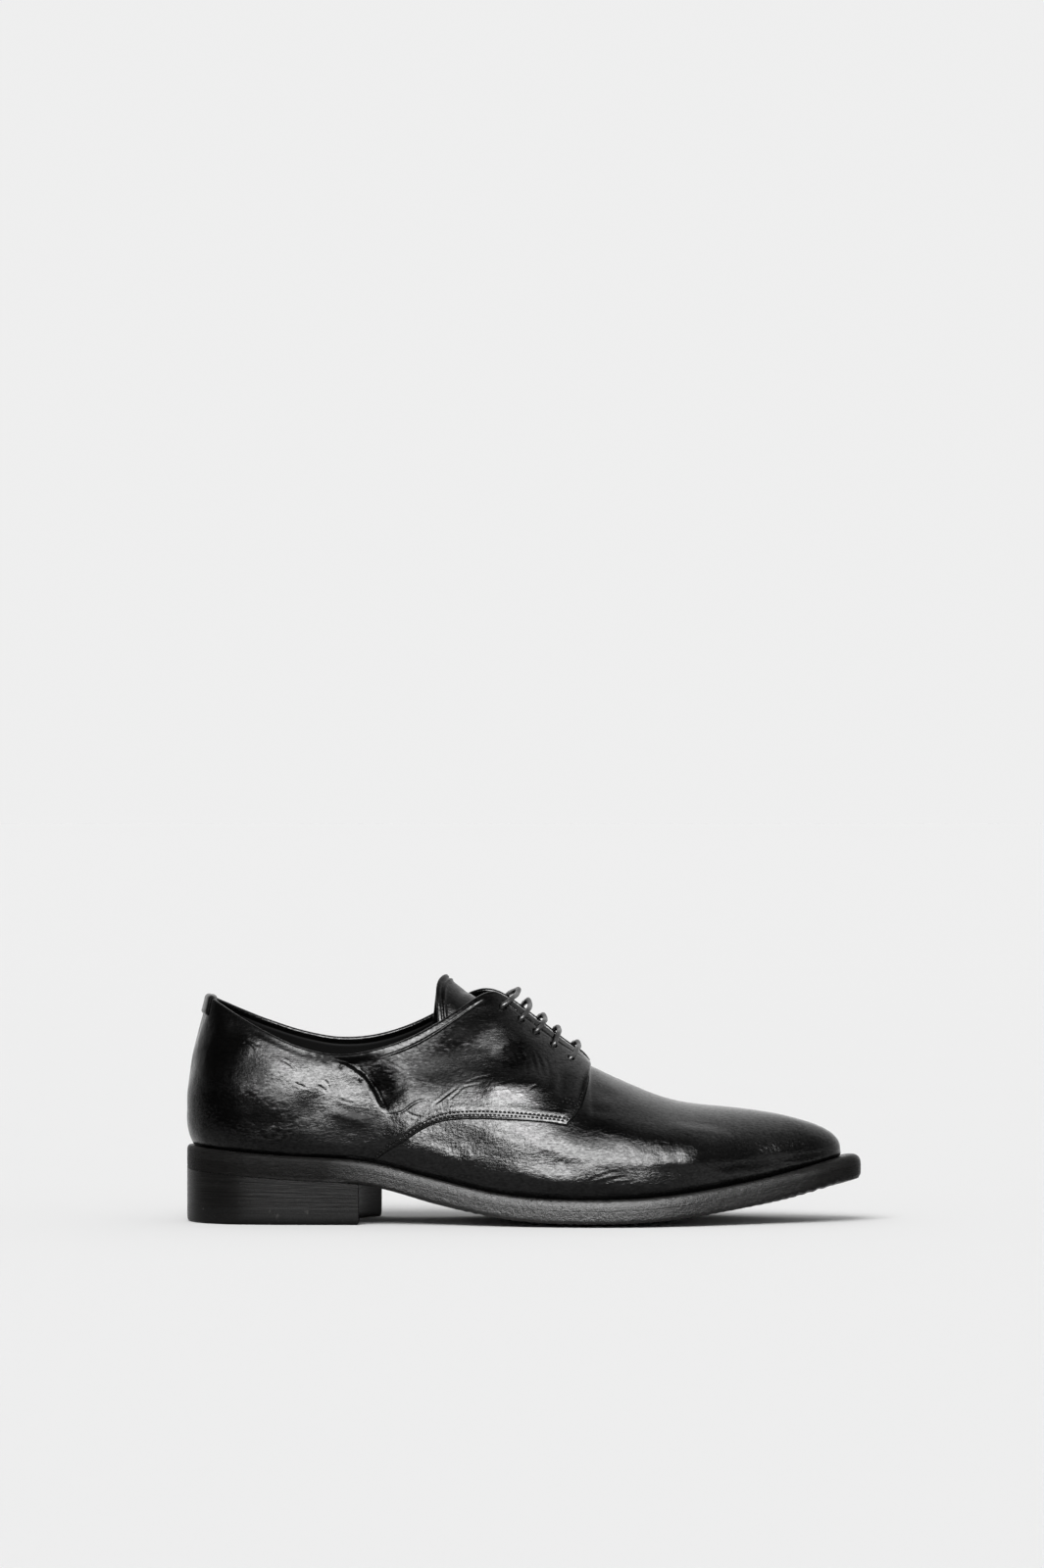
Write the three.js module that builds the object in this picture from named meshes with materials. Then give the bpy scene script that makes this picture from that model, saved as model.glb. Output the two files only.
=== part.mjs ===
// Derby shoe, right foot: plain vamp, open lacing over a tongue, stacked block heel.
// Millimetres. +X points to the toe, +Y to the inner (medial) side, +Z up.
// Tables measure x from the back of the heel; the group is then moved so that the
// origin is the centre of the heel's ground face.
import * as THREE from "three";
import { mergeVertices } from "three/addons/utils/BufferGeometryUtils.js";

// ---- driving dimensions ----
const HEEL_REST_X = 38; // centre of the heel's ground face, from the back of the heel
const GAP = 0.3; // clearance between pieces that touch on the real shoe
const WALL = 2.2; // upper leather and lining together
const MIDSOLE_T = 4.9; // midsole with its welt margin
const SOLE_EDGE_T = 10.6; // midsole and outsole at the edge, measured upright
const SOLE_CROWN = 1.8; // the outsole is this much deeper in the middle than at its edge
const TOP_LIFT_T = 7.7; // rubber lift under the leather stack
const INSOLE_T = 2.2;
const TONGUE_T = 1.6;
const LACE_R = 1.05;

const LEATHER = { upper: 0x121212, lining: 0x1a1918, sole: 0x1d1c1b, heel: 0x191818 };

// ---- tables ----
// Plan outline of the sole: x, lateral half width, medial half width.
const SOLE_OUTLINE = [
  { s: 0, x: 0, lat: 0, med: 0 },
  { s: 1, x: 3.1, lat: 13.2, med: 13.2 },
  { s: 2, x: 10.5, lat: 23.2, med: 23.0 },
  { s: 3, x: 22, lat: 29.6, med: 29.0 },
  { s: 4, x: 36, lat: 32.2, med: 31.4 },
  { s: 5, x: 54, lat: 33.0, med: 31.6 },
  { s: 6, x: 72, lat: 33.4, med: 30.6 },
  { s: 7, x: 90, lat: 34.6, med: 29.4 },
  { s: 8, x: 108, lat: 37.6, med: 29.0 },
  { s: 9, x: 126, lat: 42.0, med: 31.2 },
  { s: 10, x: 144, lat: 47.0, med: 36.6 },
  { s: 11, x: 162, lat: 51.2, med: 42.8 },
  { s: 12, x: 180, lat: 53.6, med: 47.6 },
  { s: 13, x: 198, lat: 53.2, med: 49.6 },
  { s: 14, x: 215, lat: 50.0, med: 48.2 },
  { s: 15, x: 231, lat: 44.4, med: 43.8 },
  { s: 16, x: 246, lat: 37.8, med: 37.6 },
  { s: 17, x: 260, lat: 31.2, med: 30.8 },
  { s: 18, x: 273, lat: 25.4, med: 24.8 },
  { s: 19, x: 284.5, lat: 20.2, med: 19.6 },
  { s: 20, x: 294.5, lat: 14.4, med: 14.0 },
  { s: 21, x: 301.8, lat: 7.6, med: 7.4 },
  { s: 22, x: 304, lat: 0, med: 0 },
];

// Height of the sole's upper face along the length.
const SOLE_TOP = [
  { x: -6, z: 35.2 }, { x: 4, z: 34.2 }, { x: 17, z: 33.0 }, { x: 32, z: 31.7 }, { x: 48, z: 30.6 },
  { x: 62, z: 29.9 }, { x: 74, z: 29.1 }, { x: 84, z: 27.8 }, { x: 93, z: 25.8 }, { x: 103, z: 23.1 },
  { x: 115, z: 20.1 }, { x: 128, z: 17.0 }, { x: 141, z: 14.5 }, { x: 154, z: 13.0 }, { x: 168, z: 12.3 },
  { x: 182, z: 12.1 }, { x: 195, z: 12.3 }, { x: 208, z: 12.9 }, { x: 220, z: 14.0 }, { x: 234, z: 15.9 },
  { x: 248, z: 18.2 }, { x: 262, z: 20.9 }, { x: 275, z: 24.0 }, { x: 287, z: 27.2 }, { x: 296, z: 29.5 },
  { x: 306, z: 31.1 },
];

// Ribs of the upper. foot: where the wall meets the sole; bulge: how far the belly stands
// outside the foot; belly: its height; lean: the wall's angle from upright at the rim;
// low, high: how strongly the rib holds its direction at the belly and at the rim.
const RIBS = [
  { s: 0, x: 3.2, lat: 0, med: 0, bulgeL: 3.0, bulgeM: 3.0, belly: 52, lean: 13, low: 0.36, high: 0.3 },
  { s: 1, x: 5.6, lat: 12.0, med: 12.0, bulgeL: 2.9, bulgeM: 2.9, belly: 52, lean: 12, low: 0.36, high: 0.3 },
  { s: 2, x: 12.0, lat: 21.2, med: 21.0, bulgeL: 2.7, bulgeM: 2.7, belly: 51, lean: 11, low: 0.36, high: 0.3 },
  { s: 3, x: 22.4, lat: 27.0, med: 26.5, bulgeL: 2.6, bulgeM: 2.6, belly: 49.5, lean: 10, low: 0.36, high: 0.3 },
  { s: 4, x: 36, lat: 29.6, med: 28.8, bulgeL: 2.6, bulgeM: 2.7, belly: 47.5, lean: 10, low: 0.36, high: 0.3 },
  { s: 5, x: 53, lat: 30.2, med: 28.8, bulgeL: 2.8, bulgeM: 3.2, belly: 45, lean: 10, low: 0.36, high: 0.3 },
  { s: 6, x: 71, lat: 30.2, med: 27.6, bulgeL: 3.0, bulgeM: 4.2, belly: 42.5, lean: 12, low: 0.36, high: 0.3 },
  { s: 7, x: 89, lat: 31.2, med: 26.2, bulgeL: 3.3, bulgeM: 5.6, belly: 40, lean: 16, low: 0.36, high: 0.3 },
  { s: 8, x: 107, lat: 33.8, med: 25.6, bulgeL: 3.4, bulgeM: 6.8, belly: 37.5, lean: 25, low: 0.34, high: 0.3 },
  { s: 9, x: 125, lat: 37.9, med: 27.2, bulgeL: 3.2, bulgeM: 7.2, belly: 34.5, lean: 36, low: 0.32, high: 0.3 },
  { s: 10, x: 142.5, lat: 42.2, med: 32.0, bulgeL: 2.9, bulgeM: 6.0, belly: 31.5, lean: 44, low: 0.31, high: 0.3 },
  { s: 11, x: 159, lat: 45.8, med: 37.8, bulgeL: 2.6, bulgeM: 4.2, belly: 29, lean: 52, low: 0.31, high: 0.31 },
  { s: 12, x: 175.5, lat: 47.9, med: 42.0, bulgeL: 2.4, bulgeM: 3.0, belly: 27.5, lean: 56, low: 0.33, high: 0.34 },
  { s: 13, x: 192, lat: 47.7, med: 44.0, bulgeL: 2.2, bulgeM: 2.4, belly: 26.5, lean: 60, low: 0.4, high: 0.4 },
  { s: 14, x: 208, lat: 45.0, med: 43.0, bulgeL: 2.0, bulgeM: 2.1, belly: 26, lean: 80, low: 0.45, high: 0.42 },
  { s: 15, x: 223, lat: 40.2, med: 39.4, bulgeL: 1.8, bulgeM: 1.8, belly: 26.5, lean: 80, low: 0.48, high: 0.43 },
  { s: 16, x: 237, lat: 34.3, med: 34.2, bulgeL: 1.5, bulgeM: 1.5, belly: 27.3, lean: 80, low: 0.5, high: 0.43 },
  { s: 17, x: 250.5, lat: 28.2, med: 28.2, bulgeL: 1.3, bulgeM: 1.3, belly: 28.3, lean: 80, low: 0.5, high: 0.43 },
  { s: 18, x: 263, lat: 22.4, med: 22.2, bulgeL: 1.0, bulgeM: 1.0, belly: 29.6, lean: 80, low: 0.5, high: 0.43 },
  { s: 19, x: 274.5, lat: 17.2, med: 16.8, bulgeL: 0.8, bulgeM: 0.8, belly: 30.8, lean: 80, low: 0.5, high: 0.43 },
  { s: 20, x: 284.6, lat: 12.4, med: 12.0, bulgeL: 0.5, bulgeM: 0.5, belly: 32, lean: 80, low: 0.49, high: 0.43 },
  { s: 21, x: 292.0, lat: 6.8, med: 6.6, bulgeL: 0.25, bulgeM: 0.25, belly: 32.6, lean: 80, low: 0.47, high: 0.43 },
  { s: 22, x: 294.6, lat: 0, med: 0, bulgeL: 0.1, bulgeM: 0.1, belly: 32.8, lean: 80, low: 0.46, high: 0.43 },
];

// Rim of the opening: topline, top corner of the facings, facing edge, end of the throat.
const RIM = [
  { s: 0, x: 9.0, lat: 0, zLat: 101.7, med: 0, zMed: 101.7 },
  { s: 1, x: 11.0, lat: 7.4, zLat: 100.9, med: 7.2, zMed: 101.0 },
  { s: 2, x: 16.2, lat: 13.4, zLat: 97.8, med: 12.8, zMed: 98.6 },
  { s: 3, x: 24.6, lat: 19.2, zLat: 92.6, med: 17.8, zMed: 94.8 },
  { s: 4, x: 36, lat: 24.4, zLat: 86.3, med: 21.8, zMed: 90.2 },
  { s: 5, x: 52, lat: 28.2, zLat: 79.3, med: 24.8, zMed: 85.0 },
  { s: 6, x: 69, lat: 29.7, zLat: 76.2, med: 26.2, zMed: 82.1 },
  { s: 6.95, x: 86, lat: 29.5, zLat: 78.7, med: 26.0, zMed: 83.6 },
  { s: 7.85, x: 103, lat: 27.3, zLat: 84.9, med: 24.2, zMed: 89.3 },
  { s: 8.4, x: 114, lat: 24.0, zLat: 90.9, med: 21.8, zMed: 95.0 },
  { s: 8.85, x: 122, lat: 20.6, zLat: 96.0, med: 18.8, zMed: 100.2 },
  { s: 9.2, x: 128.6, lat: 17.4, zLat: 100.4, med: 16.2, zMed: 103.4 },
  { s: 9.5, x: 134, lat: 15.2, zLat: 103.4, med: 14.6, zMed: 104.8 },
  { s: 9.75, x: 138.4, lat: 14.2, zLat: 104.3, med: 13.8, zMed: 104.4 },
  { s: 10, x: 142.4, lat: 13.7, zLat: 102.8, med: 13.3, zMed: 102.9 },
  { s: 10.35, x: 148.2, lat: 13.1, zLat: 98.9, med: 12.8, zMed: 99.2 },
  { s: 10.8, x: 156, lat: 12.4, zLat: 92.9, med: 12.2, zMed: 93.4 },
  { s: 11.3, x: 165, lat: 11.6, zLat: 85.9, med: 11.4, zMed: 86.4 },
  { s: 11.75, x: 172.8, lat: 10.6, zLat: 79.7, med: 10.4, zMed: 80.0 },
  { s: 12.02, x: 177.8, lat: 9.0, zLat: 75.5, med: 9.2, zMed: 76.2 },
  { s: 12.2, x: 180.6, lat: 6.4, zLat: 72.6, med: 7.6, zMed: 73.0 },
  { s: 12.33, x: 181.7, lat: 3.2, zLat: 70.9, med: 4.8, zMed: 71.1 },
  { s: 12.42, x: 181.9, lat: -1.0, zLat: 69.9, med: 1.0, zMed: 69.9 },
];
const THROAT_S = 12.42; // the throat closes here; further forward the ribs meet on the ridge

// Ridge of the vamp in front of the throat.
const RIDGE_X = [
  { s: 12.42, x: 181.9 }, { s: 13, x: 190.5 }, { s: 14, x: 205 }, { s: 15, x: 219 }, { s: 16, x: 231.5 },
  { s: 17, x: 242.8 }, { s: 18, x: 252.6 }, { s: 19, x: 260.8 }, { s: 20, x: 267 }, { s: 21, x: 271.2 },
  { s: 22, x: 273 },
];
const RIDGE = [
  { x: 176, z: 72.6, y: 0.7 }, { x: 181.9, z: 69.9, y: 1.0 }, { x: 190, z: 66.1, y: 1.6 },
  { x: 199, z: 62.0, y: 2.2 }, { x: 208, z: 58.1, y: 2.6 }, { x: 217, z: 55.0, y: 2.8 },
  { x: 226, z: 53.1, y: 2.7 }, { x: 236, z: 52.0, y: 2.4 }, { x: 247, z: 51.0, y: 1.9 },
  { x: 258, z: 49.6, y: 1.2 }, { x: 267, z: 48.1, y: 0.6 }, { x: 275, z: 46.2, y: 0 },
];

// Tongue: x and z of its middle line, half width and drop of its arch at the edges, and
// how far each edge lies behind the middle line (lateral, medial).
const TONGUE = [
  { s: 0, x: 115.8, z: 110.9, half: 20.5, drop: 24, backL: 1.6, backM: 4.6 },
  { s: 1, x: 122, z: 106.4, half: 20.5, drop: 22, backL: 1.4, backM: 3.6 },
  { s: 2, x: 130, z: 100.9, half: 20.5, drop: 19.5, backL: 1.2, backM: 2.8 },
  { s: 3, x: 140, z: 94.4, half: 20.3, drop: 17, backL: 1, backM: 2.2 },
  { s: 4, x: 150, z: 88.2, half: 20.0, drop: 14.5, backL: 0.8, backM: 1.6 },
  { s: 5, x: 160, z: 81.9, half: 19.5, drop: 12, backL: 0.6, backM: 1 },
  { s: 6, x: 170, z: 75.3, half: 18.5, drop: 9.6, backL: 0.4, backM: 0.6 },
  { s: 7, x: 180, z: 68.0, half: 17.0, drop: 7, backL: 0.2, backM: 0.2 },
  { s: 8, x: 190, z: 62.6, half: 15.0, drop: 5.2, backL: 0, backM: 0 },
];

// Lace bars over the throat: the lateral hole and the bar's highest point.
const LACES = [
  { holeX: 142.3, holeZ: 97.0, peakX: 149.9, peakZ: 104.0 },
  { holeX: 150.6, holeZ: 91.4, peakX: 154.4, peakZ: 99.4 },
  { holeX: 157.4, holeZ: 85.9, peakX: 161.2, peakZ: 92.6 },
  { holeX: 165.2, holeZ: 79.8, peakX: 167.7, peakZ: 87.2 },
  { holeX: 172.5, holeZ: 73.5, peakX: 176.6, peakZ: 80.4 },
];

// ---- table reading: a smooth curve through the rows ----
function reader(rows, key, column, mirror = 0) {
  let k = rows.map((r) => r[key]);
  let v = rows.map((r) => r[column]);
  if (mirror) {
    const n = k.length - 1;
    k = [2 * k[0] - k[1], ...k, 2 * k[n] - k[n - 1]];
    v = [mirror * v[1], ...v, mirror * v[n - 1]];
  }
  const m = v.map((_, i) => {
    if (i === 0) return (v[1] - v[0]) / (k[1] - k[0]);
    if (i === v.length - 1) return (v[i] - v[i - 1]) / (k[i] - k[i - 1]);
    const h0 = k[i] - k[i - 1];
    const h1 = k[i + 1] - k[i];
    return ((v[i] - v[i - 1]) / h0 * h1 + (v[i + 1] - v[i]) / h1 * h0) / (h0 + h1);
  });
  return (q) => {
    let i = 0;
    while (i < k.length - 2 && q > k[i + 1]) i++;
    const h = k[i + 1] - k[i];
    const t = Math.min(1, Math.max(0, (q - k[i]) / h));
    const t2 = t * t;
    const t3 = t2 * t;
    return v[i] * (2 * t3 - 3 * t2 + 1) + m[i] * h * (t3 - 2 * t2 + t) +
      v[i + 1] * (3 * t2 - 2 * t3) + m[i + 1] * h * (t3 - t2);
  };
}

const soleX = reader(SOLE_OUTLINE, "s", "x", 1);
const soleY = { "-1": reader(SOLE_OUTLINE, "s", "lat", -1), "1": reader(SOLE_OUTLINE, "s", "med", -1) };
const topZ = reader(SOLE_TOP, "x", "z");
const ribX = reader(RIBS, "s", "x", 1);
const ribY = { "-1": reader(RIBS, "s", "lat", -1), "1": reader(RIBS, "s", "med", -1) };
const bulge = { "-1": reader(RIBS, "s", "bulgeL", 1), "1": reader(RIBS, "s", "bulgeM", 1) };
const bellyZ = reader(RIBS, "s", "belly", 1);
const lean = reader(RIBS, "s", "lean", 1);
const low = reader(RIBS, "s", "low", 1);
const high = reader(RIBS, "s", "high", 1);
const rimX = reader(RIM, "s", "x");
const rimY = { "-1": reader(RIM, "s", "lat"), "1": reader(RIM, "s", "med") };
const rimZ = { "-1": reader(RIM, "s", "zLat"), "1": reader(RIM, "s", "zMed") };
const ridgeX = reader(RIDGE_X, "s", "x");
const ridgeY = reader(RIDGE, "x", "y");
const ridgeZ = reader(RIDGE, "x", "z");
const ridgeSlope = (x) => (ridgeZ(x + 0.5) - ridgeZ(x - 0.5));

const LAST_S = 22;
const V = (x, y, z) => new THREE.Vector3(x, y, z);
const bezier = (a, b, c, d, t) => new THREE.CubicBezierCurve3(a, b, c, d).getPoint(t);

// ---- the upper's outer surface ----
// s runs from the middle of the heel (0) to the toe (22) on one side, side is -1 for
// lateral and +1 for medial, t from the sole (0) over the belly (T_BELLY) to the rim (1).
const T_BELLY = 0.28;

// The rim as the lower wall feels it: from SOFT_S on it swings evenly to the ridge, while
// the facing edge itself turns in sharply at the throat's end.
const SOFT_S = 11.0;
const rimPoint = (s, side) => V(rimX(s), side * rimY[side](s), rimZ[side](s));
const ridgePoint = (s) => V(ridgeX(s), ridgeY(ridgeX(s)), ridgeZ(ridgeX(s)));

function softRim(s, side) {
  const span = THROAT_S - SOFT_S;
  const q = (s - SOFT_S) / span;
  const start = rimPoint(SOFT_S, side);
  const end = ridgePoint(THROAT_S);
  const d0 = rimPoint(SOFT_S + 0.05, side).sub(rimPoint(SOFT_S - 0.05, side)).multiplyScalar(span / 0.1);
  const d1 = ridgePoint(THROAT_S + 0.1).sub(end).multiplyScalar(span / 0.1);
  return bezier(start, start.clone().addScaledVector(d0, 1 / 3), end.clone().addScaledVector(d1, -1 / 3), end, q);
}

function rib(s, side) {
  const e = 0.02;
  const fx = ribX(s);
  const fy = ribY[side](s);
  const tangent = V(ribX(s + e) - ribX(s - e), ribY[side](s + e) - ribY[side](s - e), 0).normalize();
  if (s === 0) tangent.set(0, 1, 0);
  if (s === LAST_S) tangent.set(0, -1, 0);
  const out = V(-tangent.y, tangent.x, 0); // outward in plan, before the side's sign
  const foot = V(fx, side * fy, topZ(fx) + GAP);
  const dir = V(out.x, side * out.y, 0);
  const b = bulge[side](s);
  const belly = V(fx + dir.x * b, side * fy + dir.y * b, bellyZ(s));
  const closed = s >= THROAT_S;
  const soft = s > SOFT_S && !closed;
  const rim = closed ? ridgePoint(s) : soft ? softRim(s, side) : rimPoint(s, side);
  const turn = soft ? rimPoint(s, side).sub(rim) : V(0, 0, 0);
  const plan = V(rim.x - belly.x, rim.y - belly.y, 0).normalize();
  const slope = closed ? ridgeSlope(rim.x) : ridgeSlope(ridgeX(THROAT_S));
  const flat = V(plan.x, plan.y, plan.x * slope).normalize();
  const a = THREE.MathUtils.degToRad(lean(s));
  const steep = V(plan.x * Math.sin(a), plan.y * Math.sin(a), Math.cos(a));
  const w = closed ? 1 : THREE.MathUtils.smoothstep(s, SOFT_S, THROAT_S);
  return { foot, belly, rim, turn, arrive: steep.lerp(flat, w).normalize(), dir, s };
}

function onRib(r, t) {
  if (t <= T_BELLY) {
    const h = r.belly.z - r.foot.z;
    const start = r.foot.clone().addScaledVector(r.dir, 0.55 * r.foot.distanceTo(r.belly) * 0.4)
      .add(V(0, 0, 0.3 * h));
    return bezier(r.foot, start, r.belly.clone().add(V(0, 0, -0.35 * h)), r.belly, t / T_BELLY);
  }
  const reach = r.rim.distanceTo(r.belly);
  const a = r.belly.clone().add(V(0, 0, low(r.s) * (r.rim.z - r.belly.z) * 1.15));
  const c = r.rim.clone().addScaledVector(r.arrive, -high(r.s) * reach);
  const q = (t - T_BELLY) / (1 - T_BELLY);
  return bezier(r.belly, a, c, r.rim, q).addScaledVector(r.turn, q ** 3);
}

const outer = (s, side, t) => {
  const q = Math.min(LAST_S, Math.max(0, s));
  return onRib(rib(q, side), t);
};

// Point moved inwards by depth, square to the surface.
function inner(s, side, t, depth) {
  const e = 0.03;
  const f = 0.01;
  const s0 = Math.max(0, s - e);
  const s1 = Math.min(LAST_S, s + e);
  const t0 = Math.max(0, t - f);
  const t1 = Math.min(1, t + f);
  let along = outer(s1, side, t).sub(outer(s0, side, t));
  if (s === 0) along = V(0, side, 0);
  if (s === LAST_S) along = V(0, -side, 0);
  if (s >= THROAT_S && s < LAST_S && t > 0.999) along = V(1, 0, ridgeSlope(ridgeX(s)));
  const up = outer(s, side, t1).sub(outer(s, side, t0));
  const n = new THREE.Vector3().crossVectors(along, up).multiplyScalar(side).normalize();
  if (s >= THROAT_S && t > 0.999) n.setY(0).normalize();
  const p = outer(s, side, t).addScaledVector(n, depth);
  if (t === 0) p.z = topZ(p.x) + GAP;
  return p;
}

// ---- mesh building ----
class Shell {
  constructor() { this.v = []; }
  tri(a, b, c) { this.v.push(a.x, a.y, a.z, b.x, b.y, b.z, c.x, c.y, c.z); }
  quad(a, b, c, d) { this.tri(a, b, c); this.tri(a, c, d); }
  // Rows of points, joined as a strip of quads; flip turns the faces round.
  strip(rows, flip = false) {
    for (let i = 0; i < rows.length - 1; i++)
      for (let j = 0; j < rows[i].length - 1; j++) {
        const [a, b, c, d] = [rows[i][j], rows[i + 1][j], rows[i + 1][j + 1], rows[i][j + 1]];
        if (flip) this.quad(a, d, c, b); else this.quad(a, b, c, d);
      }
  }
  geometry() {
    const g = new THREE.BufferGeometry();
    const kept = [];
    const same = (i, j) => [0, 1, 2].every((k) => Math.abs(this.v[i + k] - this.v[j + k]) < 1e-4);
    for (let i = 0; i < this.v.length; i += 9)
      if (!same(i, i + 3) && !same(i + 3, i + 6) && !same(i, i + 6)) kept.push(...this.v.slice(i, i + 9));
    g.setAttribute("position", new THREE.Float32BufferAttribute(kept, 3));
    const m = mergeVertices(g, 1e-3);
    m.computeVertexNormals();
    return m;
  }
}

const steps = (n, f = (q) => q) => Array.from({ length: n + 1 }, (_, i) => f(i / n));

function upperGeometry() {
  const shell = new Shell();
  const stations = [];
  for (let s = 0; s < 9; s += 0.5) stations.push(s);
  for (const s of [9, 9.3, 9.55, 9.75, 9.95, 10.3, 10.7, 11.1, 11.5, 11.8, 12.02, 12.2, 12.33, THROAT_S]) stations.push(s);
  for (let s = 13; s <= LAST_S + 1e-9; s += 0.5) stations.push(s);
  const ts = [0, 0.1, 0.19, T_BELLY, 0.37, 0.46, 0.55, 0.64, 0.73, 0.81, 0.88, 0.94, 1];
  const first = {};
  for (const side of [-1, 1]) {
    // Both sides share the heel rib, the toe rib and the ridge.
    const grid = (point, key) => {
      const rows = stations.map((s, i) => ts.map((t, j) => {
        const shared = i === 0 || i === stations.length - 1 || (s >= THROAT_S && j === ts.length - 1);
        return shared && first[key] ? first[key][i][j] : point(s, t);
      }));
      first[key] = first[key] || rows;
      return rows;
    };
    const out = grid((s, t) => outer(s, side, t), "out");
    const inn = grid((s, t) => inner(s, side, t, WALL), "in");
    const flip = side === 1;
    shell.strip(out, flip);
    shell.strip(inn, !flip);
    shell.strip(stations.map((_, i) => [inn[i][0], out[i][0]]), flip);
    const open = stations.map((s, i) => [s, i]).filter(([s]) => s <= THROAT_S + 1e-9).map(([, i]) => i);
    const last = ts.length - 1;
    shell.strip(open.map((i) => [out[i][last], inn[i][last]]), flip);
  }
  return shell.geometry();
}

// ---- sole plates ----
// Columns across a plate, as shares of its width; the outermost ones carry the edge rounding.
const ACROSS = [0, 0.035, 0.11, 0.3, 0.5, 0.7, 0.89, 0.965, 1];

// A closed plate over rows of plan points; zTop and zBottom give its faces from x and the
// share of the width to the nearer edge. A row without width becomes a single point.
function plate(rows, zTop, zBottom) {
  const shell = new Shell();
  const raise = (z) => rows.map((row, i) => {
    const pointed = [0, rows.length - 1].filter((k) => rows[k][0].distanceTo(rows[k][ACROSS.length - 1]) < 0.01);
    const end = Math.min(...pointed.map((k) => Math.abs(k - i)), 2);
    return row.map((p, j) => V(p.x, p.y, z(p.x, Math.min(ACROSS[j], 1 - ACROSS[j], [0, 0.04, 1][end]))));
  });
  const top = raise(zTop);
  const bottom = raise(zBottom);
  const n = ACROSS.length - 1;
  const e = rows.length - 1;
  shell.strip(top);
  shell.strip(bottom, true);
  shell.strip(rows.map((_, i) => [bottom[i][0], top[i][0]]));
  shell.strip(rows.map((_, i) => [top[i][n], bottom[i][n]]));
  shell.strip([bottom[0], top[0]]);
  shell.strip([top[e], bottom[e]]);
  return shell.geometry();
}

const outlineAt = (s, side) => V(soleX(s), side * soleY[side](s), 0);
const rowBetween = (l, m) => ACROSS.map((u) => l.clone().lerp(m, u));
const soleRows = steps(36, (q) => rowBetween(outlineAt(q * LAST_S, -1), outlineAt(q * LAST_S, 1)));

const edgeDrop = (edge) => (edge < 0.01 ? 1.0 : edge < 0.05 ? 0.15 : 0);
const midsoleGeometry = plate(
  soleRows,
  (x, edge) => topZ(x) - edgeDrop(edge),
  (x) => topZ(x) - MIDSOLE_T,
);

// The outsole is flat over the heel and crowned in front of it; its lowest part is ground flat.
const crowned = (x) => THREE.MathUtils.smoothstep(x, 84, 112);
const groundFace = (x, edge) => {
  const deep = SOLE_CROWN * Math.pow(Math.min(1, edge / 0.3), 0.8);
  return Math.max(0, topZ(x) - SOLE_EDGE_T + crowned(x) * ((edge < 0.01 ? 0.9 : 0) - deep));
};
const outsoleGeometry = plate(soleRows, (x) => topZ(x) - MIDSOLE_T - GAP, groundFace);

// ---- heel: block with a hollowed, skewed breast ----
const BREAST = { x: 74.3, y: -9, lateral: 0.0066, medial: 0.0088 };
const breastX = (y) => BREAST.x + (y < BREAST.y ? BREAST.lateral : BREAST.medial) * (y - BREAST.y) ** 2;

function cornerS(side) {
  let lo = 3;
  let hi = 8;
  for (let i = 0; i < 40; i++) {
    const mid = (lo + hi) / 2;
    if (soleX(mid) < breastX(side * soleY[side](mid))) lo = mid; else hi = mid;
  }
  return lo;
}

const corners = { "-1": cornerS(-1), "1": cornerS(1) };
const heelRows = steps(14, (q) => {
  const row = rowBetween(outlineAt(q * corners[-1], -1), outlineAt(q * corners[1], 1));
  const front = rowBetween(outlineAt(corners[-1], -1), outlineAt(corners[1], 1));
  return row.map((p, j) => V(p.x + q ** 3 * (breastX(front[j].y) - front[j].x), p.y, 0));
});
const stackGeometry = plate(
  heelRows,
  (x) => topZ(x) - SOLE_EDGE_T - GAP - crowned(x) * SOLE_CROWN,
  () => TOP_LIFT_T + GAP,
);
const liftGeometry = plate(heelRows, () => TOP_LIFT_T, () => 0);

// ---- insole ----
const insoleEdge = (s, side) => inner(s, side, 0, WALL + GAP + 0.2).setZ(0);
const insoleRows = steps(26, (q) => {
  const [l, m] = [insoleEdge(q * LAST_S, -1), insoleEdge(q * LAST_S, 1)];
  return rowBetween(l, q === 0 || q === 1 ? l : m);
});
const insoleGeometry = plate(
  insoleRows,
  (x, edge) => topZ(x) + GAP + INSOLE_T - (edge < 0.01 ? 0.5 : 0),
  (x) => topZ(x) + GAP,
);

// ---- tongue ----
const tongueAt = Object.fromEntries(["x", "z", "half", "drop", "backL", "backM"].map((c) => [c, reader(TONGUE, "s", c)]));
const TONGUE_END = 8;
const TONGUE_ARC = 1.3; // radians of arch on each side

function tonguePoint(s, u, depth = 0) {
  const at = (q, w) => {
    const a = w * TONGUE_ARC;
    const fall = (1 - Math.cos(a)) / (1 - Math.cos(TONGUE_ARC));
    return V(
      tongueAt.x(q) - (w < 0 ? tongueAt.backL(q) : tongueAt.backM(q)) * Math.sqrt(fall + 1e-9),
      tongueAt.half(q) * Math.sin(a) / Math.sin(TONGUE_ARC) + 0.6,
      tongueAt.z(q) - tongueAt.drop(q) * fall,
    );
  };
  const p = at(s, u);
  if (!depth) return p;
  const e = 0.02;
  const along = at(Math.min(TONGUE_END, s + e), u).sub(at(Math.max(0, s - e), u));
  const over = at(s, u + e).sub(at(s, u - e));
  const n = new THREE.Vector3().crossVectors(along, over).normalize();
  return p.addScaledVector(n, -depth);
}

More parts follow.
